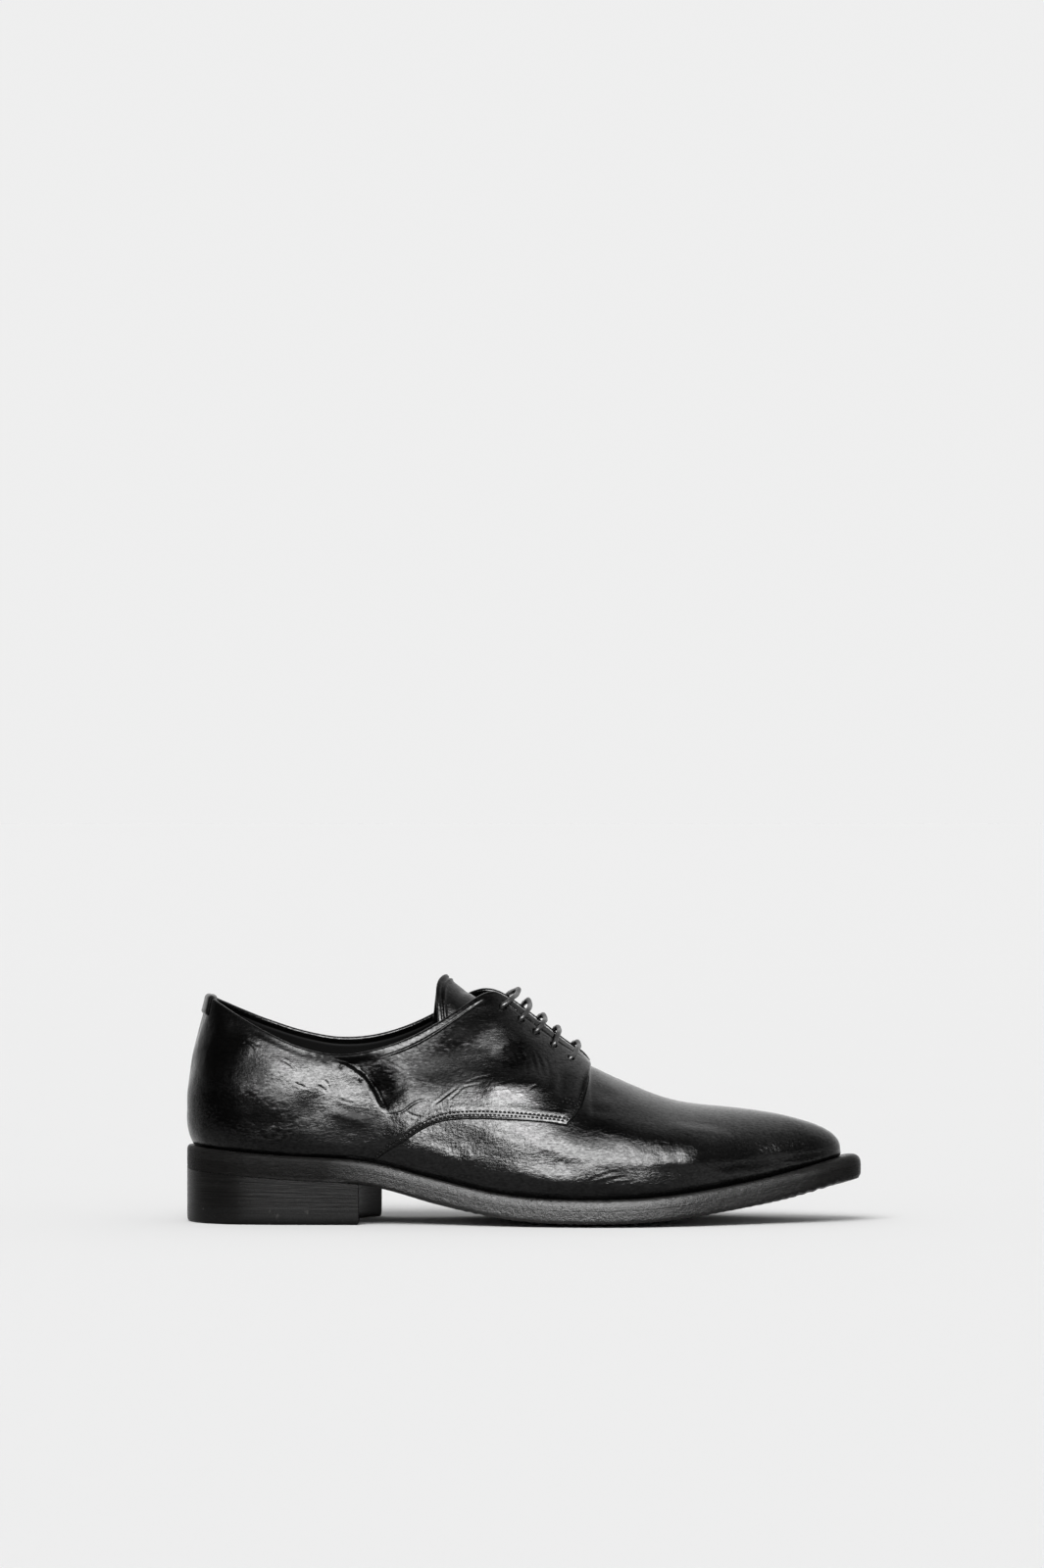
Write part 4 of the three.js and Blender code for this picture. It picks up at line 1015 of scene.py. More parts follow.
def lace_path(i):
    hx, hz = LACES["holeX"][i], LACES["holeZ"][i]
    px, pz = LACES["peakX"][i], LACES["peakZ"][i]
    rise = np.array([px - hx, pz - hz])
    off = np.array([rise[1], -rise[0]]) / np.linalg.norm(rise)
    w = np.arange(0, 1, 0.01)
    x, z = hx + rise[0] * w, hz + rise[1] * w
    below = z < rim_z[-1](9.75 + (x - 138.4) / 17.5)
    cross = w[below].max() if below.any() else 0
    halves = {}
    for side in (-1, 1):
        bow = BOW_NEAR[i] if side < 0 else BOW_FAR[i]
        pts = []
        for k, share in enumerate((0, cross * 0.5, cross)):
            out = bow * math.sin(math.pi * (0.12 + 0.80 * share) if side > 0 else math.pi * share)
            X, Z = hx + rise[0] * share + off[0] * out * (side < 0), hz + rise[1] * share + off[1] * out * (side < 0)
            s, t = locate(X, Z, -1)
            p = outer(s, side, t)[0]
            if k == 0:
                _, n, up = frame_at(s, side, t)
                n, up = n[0], up[0]
                pts.append(p - n * 2.6 - up * 0.5)
                pts.append(p - n * 0.7 - up * 0.15)
                pts.append(p + n * 0.85 + up * 0.35)
                continue
            p = np.array([X if side < 0 else p[0] + 0.3, p[1] + side * (LACE_R + 0.5 + 0.35 * k) * 1.2, p[2] + 0.35 * k])
            if side > 0:
                p[0] += off[0] * out
                p[2] += off[1] * out * 0.5
            pts.append(p)
        top = pts[-1]
        peak = np.array([px, 0.5, pz])
        mid = top * 0.40 + peak * 0.60
        push = 0.55 * bow if side < 0 else 0.25 * bow
        mid[0] += off[0] * push
        mid[2] += off[1] * push - 0.15
        pts.append(mid)
        halves[side] = pts
    peak = np.array([px - 0.5 * off[0], 0.5, pz - 0.5 * off[1] - 0.1])
    return centripetal(halves[-1] + [peak] + halves[1][::-1], 14)


# ---- stitches ----
def stitch(mesh, a, b, normal, r=0.40, arch=0.22):
    """One stitch of thread from a to b, arched a little over the surface."""
    d = b - a
    length = np.linalg.norm(d)
    if length < 0.05:
        return
    d = d / length
    n = normal - d * np.dot(normal, d)
    n = n / max(1e-6, np.linalg.norm(n))
    side = np.cross(d, n)
    rings = []
    for q, size in ((-0.02, 0.25), (0.06, 0.72), (0.22, 0.98), (0.5, 1.05), (0.78, 0.98), (0.94, 0.72), (1.02, 0.25)):
        p = a + d * length * q + n * (arch * math.sin(math.pi * min(1, max(0, q))) - 0.12 * (abs(q - 0.5) > 0.5))
        ang = np.linspace(0, 2 * np.pi, 6, endpoint=False)
        rings.append(p + (n[None] * np.cos(ang)[:, None] + side[None] * np.sin(ang)[:, None] * 1.1) * r * size)
    mesh.grid(np.stack(rings), wrap_v=True)


def stitch_row(mesh, path, normals, pitch=1.9, gap=0.55, r=0.40):
    run = lengths(path, 0)
    n = int(run[-1] // pitch)
    for k in range(n):
        q = (k * pitch + gap / 2, (k + 1) * pitch - gap / 2)
        a, b = (np.array([np.interp(v, run, path[:, c]) for c in range(3)]) for v in q)
        m = np.array([np.interp(sum(q) / 2, run, normals[:, c]) for c in range(3)])
        m = m / np.linalg.norm(m)
        stitch(mesh, a + m * 0.10, b + m * 0.10, m, r)


def at_distance(g, rows, field, dist, part):
    """The line on a quarter's surface at a distance from its bottom or front edge."""
    pts, nrm = [], []
    R, N = g["R"], g["N"]
    for i in rows:
        line = (R[i], N[i], g[field][i]) if part == "bottom" else (R[:, i][::-1], N[:, i][::-1], g[field][:, i][::-1])
        d = line[2]
        k = int(np.searchsorted(d, dist))
        if k <= 0 or k >= len(d):
            continue
        w = (dist - d[k - 1]) / max(1e-6, d[k] - d[k - 1])
        pts.append(line[0][k - 1] * (1 - w) + line[0][k] * w)
        nrm.append(line[1][k - 1])
    return np.array(pts), np.array(nrm)


def seam_stitches(g, side, name, material):
    mesh = Mesh()
    nu, nv = g["U"].shape
    for dist in (1.5, 3.2):
        cols = [i for i in range(g["i0"] + 4, nu) if g["from_front"][i, 0] > 1.0]
        p, n = at_distance(g, cols, "from_bottom", dist, "bottom")
        stitch_row(mesh, p, n)
    # up the lower half of the front edge
    for dist in (1.6,):
        rows = [j for j in range(nv) if 1.5 < g["from_bottom"][-1, j] and g["W"][0, j] < 0.42]
        p, n = at_distance(g, rows, "from_front", dist, "front")
        stitch_row(mesh, p, n)
    # short double row that holds the corner down
    for lift in (0.0, 1.6):
        x = np.array([176.4, 173.6, 170.6, 167.8]) - lift * 0.2
        z = np.array([51.4, 52.8, 54.0, 54.8]) + lift
        s, t = locate(x, z, side)
        base = outer(s, side, t)
        path, nrm = on_grid(g, along_line(base, np.linspace(0, 1, 30)))
        stitch_row(mesh, path, nrm)
    return mesh.build(name, material, weld=0)


def on_grid(g, points):
    """Nearest points of a quarter's finished surface, with their normals."""
    flat = g["P"].reshape(-1, 3)
    R, N = g["R"].reshape(-1, 3), g["N"].reshape(-1, 3)
    out, nrm = [], []
    for p in points:
        k = int(np.argmin(((flat - p) ** 2).sum(1)))
        off = np.dot(R[k] - flat[k], N[k])
        out.append(p + N[k] * off)
        nrm.append(N[k])
    return np.array(out), np.array(nrm)


# ---- heel tab: a strip folded over the top edge at the back ----
def make_tab(name, material):
    mesh = Mesh()
    w = np.linspace(-1, 1, 41)
    thick = 0.85
    sections = []
    for k in w:
        side = -1 if k < 0 else 1
        s = abs(k) * 1.12
        per = float(rise_per_t(np.array(s), side))
        t0 = float(top_t(np.array(s), side))
        pts = []
        taper = 1 - 0.12 * (abs(k) > 0.95)
        lift = thick * (1 - smooth(abs(k), 0.86, 1.0) * 0.8)
        for d in (7.2, 6.4, 5.0, 3.6, 2.4, 1.4, 0.6, 0.0):
            p, n, up = frame_at(s, side, t0 - d / per)
            pts.append(p + n * (lift * smooth(7.2 - d, -0.3, 0.8) * taper + 0.05))
        p, n, up = frame_at(s, side, t0)
        c = p - n * EDGE_R
        for a in np.radians([22, 45, 68, 90, 112, 135, 158, 180]):
            pts.append(c + (n * math.cos(a) + up * math.sin(a)) * (EDGE_R + lift + 0.05))
        for d in (1.5, 3.0, 5.0, 7.0):
            p, n, up = frame_at(s, side, t0 - d / per)
            pts.append(p - n * (WALL + 0.25 + lift * 0.8))
        sections.append(np.array(pts))
    rings = np.stack(sections)
    mesh.grid(rings, flip=True)
    return mesh.build(name, material)


# ---- sole: outlines, edges and faces ----
def sole_loop(n):
    s = np.linspace(0, LAST_S, 700)
    lat = xyz(sole_x(s), -sole_y[-1](s), 0)
    med = xyz(sole_x(s), sole_y[1](s), 0)
    loop = np.vstack([lat, med[::-1][1:-1]])
    run = lengths(np.vstack([loop, loop[:1]]), 0)
    q = np.linspace(0, run[-1], n, endpoint=False)
    closed = np.vstack([loop, loop[:1]])
    p = np.stack([np.interp(q, run, closed[:, c]) for c in range(3)], -1)
    for _ in range(2):
        p = (np.roll(p, 1, 0) + 2 * p + np.roll(p, -1, 0)) / 4
    return p


def loop_normals(p, rounds=2):
    d = np.roll(p, -1, 0) - np.roll(p, 1, 0)
    n = np.stack([d[:, 1], -d[:, 0], np.zeros(len(p))], -1)
    n = unit(n)
    # points of a loop that runs along the lateral side to the toe have their outside to the right
    for _ in range(rounds):
        n = unit(np.roll(n, 1, 0) + 2 * n + np.roll(n, -1, 0))
    return n


def ring_stack(mesh, loop, normals, rings, spine, flip=False):
    """rings: (inset in mm, share of the way to the spine, z for each loop point)."""
    rows = []
    for inset, share, z in rings:
        deep = inset(loop) if callable(inset) else np.full(len(loop), float(inset))
        p = loop - normals * deep[:, None]
        p = p + (spine - p) * share
        p[:, 2] = z(p) if callable(z) else z
        rows.append(p)
    mesh.grid(np.stack(rows), wrap_v=True, flip=flip)
    return rows


def sole_spine(loop):
    s = np.linspace(0, LAST_S, 200)
    xs = sole_x(s)
    mid = (sole_y[1](s) - sole_y[-1](s)) / 2
    x = np.clip(loop[:, 0], 24, 282)
    return xyz(x, np.interp(x, xs, mid), 0)


def crowned(x):
    return smooth(x, 84, 112)


def half_width(x):
    s = np.linspace(0, LAST_S, 400)
    return np.interp(x, sole_x(s), (sole_y[1](s) + sole_y[-1](s)))


def ground_face(p, edge_mm):
    share = np.clip(edge_mm / np.maximum(half_width(p[:, 0]), 4), 0, 0.5)
    deep = SOLE_CROWN * np.minimum(1, share / 0.3) ** 0.8
    return np.maximum(0.0, top_z(p[:, 0]) - SOLE_EDGE_T - crowned(p[:, 0]) * deep)


def make_midsole(name, material):
    loop = sole_loop(760)
    nrm = loop_normals(loop)
    spine = sole_spine(loop)
    run = lengths(loop, 0)
    wob = 0.05 * np.sin(run * 0.31) + 0.04 * np.sin(run * 0.83 + 1)

    def at(dz):
        return lambda p: top_z(p[:, 0]) + dz

    def tall(p):
        return 2.3 + 2.2 * smooth(p[:, 0], 60, 100)

    def wide(p):
        return 1.5 + 3.2 * smooth(p[:, 0], 262, 300)

    rings = [(0, 0.9999, at(-0.2)), (0, 0.7, at(-0.2)), (12, 0, at(-0.1)), (6.5, 0, at(-0.03))]
    for a in (88, 72, 57, 44, 32, 22, 13, 5):
        c, q = math.cos(math.radians(a)), math.sin(math.radians(a))
        rings.append(((lambda c: lambda p: wide(p) * (1 - c) + 0.02)(c),
                      0, (lambda q: lambda p: top_z(p[:, 0]) - tall(p) * (1 - q))(q)))
    rings += [(0.0, 0, at(-4.6)), (0.0, 0, at(-4.8)), (0.01, 0, at(-4.9)), (0.05, 0, at(-4.97)), (4.0, 0, at(-4.97)),
              (0, 0.5, at(-4.97)), (0, 0.9999, at(-4.97))]
    mesh = Mesh()
    ring_stack(mesh, loop + nrm * wob[:, None] * 0.4, nrm, rings, spine, flip=False)
    return mesh.build(name, material, weld=0.01)


def make_outsole(name, material):
    loop = sole_loop(1080)
    nrm = loop_normals(loop)
    spine = sole_spine(loop)
    run = lengths(loop, 0)
    x = loop[:, 0]
    ripple = smooth(x, 205, 222) * (1 - smooth(x, 294, 301))
    notch = (0.5 + 0.5 * np.cos(2 * np.pi * (x - 223) / 4.1 + 1.2 * np.sin(x * 0.21))) ** 1.5 * ripple
    wear = 0.10 * np.sin(run * 0.47) + 0.07 * np.sin(run * 1.13 + 2) + 0.05 * np.sin(run * 2.9 + 1)

    def at(dz):
        return lambda p: np.maximum(0.0, top_z(p[:, 0]) + dz)

    def lower(inset, lift, keep):
        def z(p):
            tread = 0.5 * (0.5 + 0.5 * np.cos(2 * np.pi * (p[:, 0] - 223) / 4.1 + 1.2 * np.sin(p[:, 0] * 0.21))) ** 1.5
            fore = smooth(p[:, 0], 118, 130) * (1 - smooth(p[:, 0], 292, 300)) * keep
            flat = ground_face(p, inset)
            return np.maximum(0.0, flat + lift + np.where(flat > 0.02, 1, 0.0) * tread * fore)
        return z

    rings = [(0, 0.9999, at(-5.0)), (0, 0.5, at(-5.0)), (4, 0, at(-5.0)), (0.05, 0, at(-5.0)), (0.01, 0, at(-5.07)), (0.0, 0, at(-5.3)),
             (0.0, 0, at(-6.1)), (0.0, 0, at(-7.0)), (0.0, 0, at(-8.0)), (0.02, 0, at(-8.8)), (0.10, 0, lambda p: at(-9.5)(p) + 0.15 * notch)]
    over_heel = 0.03 + 0.97 * smooth(x, 66, 80)

    def inset(mm):
        return lambda p: mm * over_heel

    rings += [(inset(0.26), 0, lambda p: np.maximum(0.0, top_z(p[:, 0]) - 9.95) + 0.35 * notch + 0.25 * wear * ripple),
              (inset(0.55), 0, lambda p: np.maximum(0.0, top_z(p[:, 0]) - 10.35) + 0.55 * notch),
              (inset(1.0), 0, lower(1.0, 0.0, 1)), (2.2, 0, lower(2.2, 0.0, 1)), (4.0, 0, lower(4.0, 0.0, 1)), (7, 0, lower(7, 0.0, 1)),
              (11, 0, lower(11, 0.0, 1))]
    for share in (0.3, 0.5, 0.7, 0.85, 0.9999):
        rings.append((11 * (1 - share), share, (lambda k: lambda p: lower(11 + 14 * k, 0.0, 1)(p))(share)))
    mesh = Mesh()
    ring_stack(mesh, loop, nrm, rings, spine, flip=False)
    return mesh.build(name, material, weld=0.01)


# ---- heel: leather lifts with a rubber one under them ----
BREAST_X, BREAST_Y, BREAST_L, BREAST_M = 74.3, -9, 0.0066, 0.0088


def breast_x(y):
    return BREAST_X + np.where(y < BREAST_Y, BREAST_L, BREAST_M) * (y - BREAST_Y) ** 2


def heel_loop(n_side, n_front):
    corner = {}
    for side in (-1, 1):
        lo, hi = 3.0, 8.0
        for _ in range(40):
            mid = (lo + hi) / 2
            if sole_x(mid) < breast_x(side * sole_y[side](mid)):
                lo = mid
            else:
                hi = mid
        corner[side] = lo
    s = np.linspace(0, corner[-1], n_side)
    lat = xyz(sole_x(s), -sole_y[-1](s), 0)
    s = np.linspace(0, corner[1], n_side)
    med = xyz(sole_x(s), sole_y[1](s), 0)
    y = np.linspace(lat[-1, 1], med[-1, 1], n_front + 2)[1:-1]
    front = xyz(breast_x(y), y, 0)
    loop = np.vstack([lat, front, med[::-1][:-1]])
    closed = np.vstack([loop, loop[:1]])
    run = lengths(closed, 0)
    q = np.linspace(0, run[-1], 420, endpoint=False)
    return np.stack([np.interp(q, run, closed[:, c]) for c in range(3)], -1)


def make_heel(name_stack, name_lift, leather, rubber):
    loop = heel_loop(120, 60)
    nrm = loop_normals(loop, 1)
    spine = xyz(np.clip(loop[:, 0], 26, 58), 0, 0)
    rng = np.random.default_rng(5)
    levels = 58
    z0 = TOP_LIFT_T + 0.03
    streak = rng.normal(0, 1, levels)
    inset = np.abs(np.convolve(streak, [0.3, 0.6, 0.3], "same")) * 0.022
    for share, deep in ((0.36, 0.02), (0.70, 0.02)):
        k = int(share * levels)
        inset[k] += deep
        inset[k - 1] += deep * 0.4
    mesh = Mesh()

    def z_at(share):
        return lambda p: z0 + (top_z(p[:, 0]) - SOLE_EDGE_T - 0.1 - crowned(p[:, 0]) * SOLE_CROWN - z0) * share

    rings = [(0, 0.9999, z0), (0, 0.5, z0), (1.0, 0, z0), (0.01, 0, z0)]
    rings += [(float(inset[k]), 0, z_at((k + 0.5) / levels)) for k in range(levels)]
    rings += [(0.0, 0, z_at(1.0)), (1.0, 0, z_at(1.0)), (0, 0.5, z_at(1.0)), (0, 0.9999, z_at(1.0))]
    ring_stack(mesh, loop, nrm, rings, spine, flip=True)
    stack = mesh.build(name_stack, leather, weld=0.005)
    mesh = Mesh()
    rings = [(0, 0.9999, TOP_LIFT_T), (0, 0.5, TOP_LIFT_T), (0.8, 0, TOP_LIFT_T), (0.012, 0, TOP_LIFT_T - 0.02), (0.004, 0, TOP_LIFT_T - 0.1),
             (0.0, 0, TOP_LIFT_T - 1.2), (0.02, 0, 5.0), (0.0, 0, 3.5), (0.06, 0, 2.0), (0.16, 0, 1.1), (0.36, 0, 0.5),
             (0.75, 0, 0.12), (1.3, 0, 0.0), (0, 0.3, 0.0), (0, 0.6, 0.0), (0, 0.9999, 0.0)]
    ring_stack(mesh, loop - nrm * 0.02, nrm, rings, spine, flip=False)
    lift = mesh.build(name_lift, rubber, weld=0.005)
    return stack, lift


# ---- sock lining on the insole ----
def make_sock(name, material):
    mesh = Mesh()
    s = LAST_S * spaced(120, 0.3)
    rows = []
    edges = {}
    for side in (-1, 1):
        p, n, _ = frame_at(s, side, np.zeros(len(s)))
        q = p - n * (WALL + GAP + 0.25)
        q[:, 2] = 0
        edges[side] = q
    edges[1][0] = edges[-1][0]
    edges[1][-1] = edges[-1][-1]
    shares = np.array([0, 0.02, 0.06, 0.14, 0.26, 0.4, 0.5, 0.6, 0.74, 0.86, 0.94, 0.98, 1])
    grid = edges[-1][:, None] * (1 - shares[None, :, None]) + edges[1][:, None] * shares[None, :, None]
    cup = (np.abs(shares - 0.5) * 2) ** 4
    z = top_z(grid[..., 0]) + GAP + INSOLE_T + 0.15 + 0.7 * cup[None]
    dent = 0.5 * np.exp(-(((grid[..., 0] - 38) / 24) ** 2 + (grid[..., 1] / 15) ** 2)) + \
        0.45 * np.exp(-(((grid[..., 0] - 195) / 26) ** 2 + (grid[..., 1] / 26) ** 2))
    grid[..., 2] = z - dent
    mesh.grid(grid)
    under = grid.copy()
    under[..., 2] = top_z(grid[..., 0]) + GAP + 0.1
    mesh.grid(under, flip=True)
    rim = np.concatenate([grid[:, 0], grid[::-1, -1]])
    rim2 = np.concatenate([under[:, 0], under[::-1, -1]])
    mesh.grid(np.stack([rim, rim2], 1), flip=False)
    return mesh.build(name, material, weld=0.01)


# ---- materials ----
class Nodes:
    """A material's node tree, built in code."""

    def __init__(self, name, **fixed):
        self.mat = bpy.data.materials.new(name)
        self.mat.use_nodes = True
        self.t = self.mat.node_tree
        self.shader = next(n for n in self.t.nodes if n.type == "BSDF_PRINCIPLED")
        for key, value in fixed.items():
            self.shader.inputs[key.replace("_", " ")].default_value = value
        self.coord = self.t.nodes.new("ShaderNodeTexCoord").outputs["Object"]

    def new(self, kind, **props):
        node = self.t.nodes.new(kind)
        for key, value in props.items():
            setattr(node, key, value)
        return node

    def link(self, a, b):
        self.t.links.new(a, b)

    def set(self, node, key, value):
        if hasattr(value, "is_output") or isinstance(value, bpy.types.NodeSocket):
            self.link(value, node.inputs[key])
        else:
            node.inputs[key].default_value = value

    def scaled(self, scale, turn=(0, 0, 0)):
        """Object coordinates stretched: scale is waves per metre along each axis."""
        m = self.new("ShaderNodeMapping")
        self.link(self.coord, m.inputs["Vector"])
        m.inputs["Scale"].default_value = scale
        m.inputs["Rotation"].default_value = turn
        return m.outputs["Vector"]

    def noise(self, vector, detail=4.0, rough=0.55, warp=0.0, scale=1.0):
        n = self.new("ShaderNodeTexNoise")
        self.link(vector, n.inputs["Vector"])
        n.inputs["Scale"].default_value = scale
        n.inputs["Detail"].default_value = detail
        n.inputs["Roughness"].default_value = rough
        n.inputs["Distortion"].default_value = warp
        return n.outputs["Fac"]

    def cells(self, vector, feature="F1", out="Distance"):
        n = self.new("ShaderNodeTexVoronoi", feature=feature)
        self.link(vector, n.inputs["Vector"])
        n.inputs["Scale"].default_value = 1.0
        return n.outputs[out]

    def zone(self, centre, radii, turn=(0, 0, 0)):
        """1 at a place of the object, falling to 0 at the given distances from it (metres)."""
        m = self.new("ShaderNodeMapping", vector_type="TEXTURE")
        self.link(self.coord, m.inputs["Vector"])
        m.inputs["Location"].default_value = centre
        m.inputs["Rotation"].default_value = turn
        m.inputs["Scale"].default_value = radii
        g = self.new("ShaderNodeTexGradient", gradient_type="QUADRATIC_SPHERE")
        self.link(m.outputs["Vector"], g.inputs["Vector"])
        return g.outputs["Fac"]

    def along(self, axis, stops):
        """A value that changes along one axis: stops are (metres, value)."""
        sep = self.new("ShaderNodeSeparateXYZ")
        self.link(self.coord, sep.inputs[0])
        lo, hi = stops[0][0], stops[-1][0]
        r = self.new("ShaderNodeMapRange")
        self.link(sep.outputs[axis], r.inputs["Value"])
        r.inputs["From Min"].default_value, r.inputs["From Max"].default_value = lo, hi
        return self.ramp(r.outputs["Result"], [((at - lo) / (hi - lo), v) for at, v in stops])

    def ramp(self, value, stops):
        n = self.new("ShaderNodeValToRGB")
        self.link(value, n.inputs["Fac"])
        e = n.color_ramp.elements
        while len(e) < len(stops):
            e.new(0.5)
        for i, (at, c) in enumerate(stops):
            e[i].position = at
            c = (c, c, c) if not hasattr(c, "__len__") else c
            e[i].color = (*c, 1.0)
        return n.outputs["Color"]

    def math(self, op, a, b=0.0, clamp=False):
        n = self.new("ShaderNodeMath", operation=op, use_clamp=clamp)
        self.set(n, 0, a)
        self.set(n, 1, b)
        return n.outputs[0]

    def mix(self, fac, a, b):
        n = self.new("ShaderNodeMix", data_type="RGBA")
        self.set(n, 0, fac)
        self.set(n, 6, a if not isinstance(a, tuple) else (*a, 1.0))
        self.set(n, 7, b if not isinstance(b, tuple) else (*b, 1.0))
        return n.outputs[2]

    def bump(self, height, strength, distance, normal=None):
        n = self.new("ShaderNodeBump")
        n.inputs["Strength"].default_value = strength
        n.inputs["Distance"].default_value = distance
        self.link(height, n.inputs["Height"])
        if normal is not None:
            self.link(normal, n.inputs["Normal"])
        return n.outputs["Normal"]

    def finish(self, colour=None, rough=None, normal=None):
        if colour is not None:
            self.link(colour, self.shader.inputs["Base Color"])
        if rough is not None:
            self.link(rough, self.shader.inputs["Roughness"])
        if normal is not None:
            self.link(normal, self.shader.inputs["Normal"])
        return self.mat


def polished_leather(name, rough=(0.11, 0.24), streak=1.0, level=0.21, depth=1.0, dull_and_shade_zones=(), gloss=None):
    """Smooth black calf: fine grain, streaks of polish along the shoe, faint mottling.
    dull_and_shade_zones: places that are less polished, their lost gloss also painting shade where they lie in shade,
    (centre, radii, turn, how strong); gloss: level along the shoe."""
    m = Nodes(name, Specular_IOR_Level=level, IOR=1.5)
    streaks = m.noise(m.scaled((90, 420, 1500)), 5.0, 0.62, 0.35)
    fine = m.noise(m.scaled((700, 2600, 5200)), 3.0, 0.6, 0.2)
    patch = m.noise(m.scaled((38, 45, 60)), 3.0, 0.5)
    pores = m.cells(m.scaled((2100, 2100, 2100)))
    creaselets = m.noise(m.scaled((260, 300, 520), (0.2, 0.5, 0.3)), 5.0, 0.7, 0.8)
    rub = m.math("MULTIPLY", m.math("SUBTRACT", streaks, 0.5), 0.9 * streak)
    rub = m.math("ADD", rub, m.math("MULTIPLY", m.math("SUBTRACT", fine, 0.5), 0.5 * streak))
    rub = m.math("ADD", rub, m.math("MULTIPLY", m.math("SUBTRACT", patch, 0.5), 0.9))
    fac = m.math("ADD", rub, 0.5, clamp=True)
    rough_out = m.ramp(fac, [(0.15, rough[0]), (0.85, rough[1])])
    tone = m.ramp(fac, [(0.1, (0.0006, 0.0006, 0.00065)), (0.75, (0.0017, 0.00165, 0.0016)), (1.0, (0.0042, 0.0041, 0.0040))])
    upright = m.noise(m.scaled((900, 900, 420), (0.0, 0.25, 0.0)), 2.0, 0.5, 0.4)
    slanted = m.noise(m.scaled((380, 900, 1100), (0.0, 0.45, 0.0)), 2.5, 0.5, 0.5)
    n = m.bump(pores, 0.20 * depth, 0.00005)
    n = m.bump(upright, 1.0 * depth, 0.000075, n)
    n = m.bump(slanted, 1.0 * depth, 0.000085, n)
    n = m.bump(streaks, 0.25 * streak * depth, 0.00008, n)
    n = m.bump(creaselets, 0.5 * depth, 0.00014, n)
    uneven = m.ramp(m.noise(m.scaled((560, 900, 1250), (0.0, 0.35, 0.0)), 3.5, 0.62, 0.4), [(0.34, 0.58), (0.66, 1.42)])
    if gloss or dull_and_shade_zones:
        shine = m.math("MULTIPLY", m.along("X", gloss), uneven) if gloss else uneven
        # each place loses gloss and gains roughness: the less polished look of creased leather, and painted shade where
        # that leather lies in shade
        for centre, radii, turn, dulling_and_shade in dull_and_shade_zones:
            z = m.math("MULTIPLY", m.zone(centre, radii, turn), m.ramp(slanted, [(0.3, 1.1), (0.7, 3.4)]), clamp=True)
            keep = m.math("SUBTRACT", 1.0, m.math("MULTIPLY", z, dulling_and_shade))
            shine = m.math("MULTIPLY", shine, keep)
            rough_out = m.math("ADD", rough_out, m.math("MULTIPLY", z, 0.20 * dulling_and_shade))
        m.link(m.math("MULTIPLY", shine, level), m.shader.inputs["Specular IOR Level"])
    return m.finish(tone, rough_out, n)


def lining_leather(name):
    m = Nodes(name, Specular_IOR_Level=0.03, IOR=1.5)
    grain = m.cells(m.scaled((1500, 1500, 1500)))
    patch = m.noise(m.scaled((45, 45, 45)), 4.0, 0.6)
    tone = m.ramp(patch, [(0.3, (0.0012, 0.00117, 0.00115)), (0.7, (0.0028, 0.0027, 0.0026))])
    n = m.bump(grain, 0.25, 0.0001)
    n = m.bump(m.noise(m.scaled((600, 600, 600)), 4.0, 0.7), 0.2, 0.00015, n)
    return m.finish(tone, m.ramp(patch, [(0.3, 0.52), (0.7, 0.66)]), n)


def sole_edge(name, lighter=0.0):
    """Inked and waxed leather edge: matt at the heel, glossier and speckled further forward."""
    m = Nodes(name, Specular_IOR_Level=0.14, IOR=1.5)
    layers = m.noise(m.scaled((260, 260, 2600)), 4.0, 0.6, 0.3)
    grit = m.noise(m.scaled((1500, 1500, 1900)), 4.0, 0.68, 0.3)
    coarse = m.noise(m.scaled((520, 520, 640), (0.0, 0.5, 0.0)), 4.0, 0.6, 0.5)
    specks = m.cells(m.scaled((950, 950, 1250)))
    some = m.noise(m.scaled((330, 330, 420)), 3.0, 0.6)
    worn = m.noise(m.scaled((24, 24, 90)), 3.0, 0.55)
    dots = m.math("MULTIPLY", m.ramp(specks, [(0.12, 1.0), (0.26, 0.0)]), m.ramp(some, [(0.54, 0.0), (0.64, 1.0)]))
    fore = m.along("X", [(0.0, 0.0), (0.03, 0.25), (0.06, 0.9), (0.15, 1.0), (0.215, 1.0), (0.25, 0.35), (0.27, 0.2)])
    base = m.ramp(layers, [(0.25, (0.004, 0.0039, 0.0038)), (0.75, (0.011 + lighter, 0.0106 + lighter, 0.0102 + lighter))])
    tone = m.mix(m.math("MULTIPLY", m.ramp(grit, [(0.55, 0.0), (0.68, 1.0)]), m.math("MULTIPLY", fore, 0.5)), base, (0.055, 0.053, 0.049))
    tone = m.mix(m.math("MULTIPLY", dots, m.math("MULTIPLY", fore, 0.8)), tone, (0.15, 0.145, 0.135))
    rough = m.ramp(m.math("ADD", m.math("MULTIPLY", layers, 0.5), m.math("MULTIPLY", worn, 0.5)), [(0.3, 0.22), (0.7, 0.36)])
    n = m.bump(layers, 0.25, 0.00012)
    n = m.bump(coarse, 0.9, 0.00030, n)
    n = m.bump(grit, 1.0, 0.00016, n)
    m.link(m.along("X", [(-0.04, 0.01), (0.025, 0.015), (0.06, 0.15), (0.10, 0.29), (0.15, 0.18), (0.215, 0.16), (0.245, 0.04), (0.27, 0.03)]),
           m.shader.inputs["Specular IOR Level"])
    return m.finish(tone, rough, n)


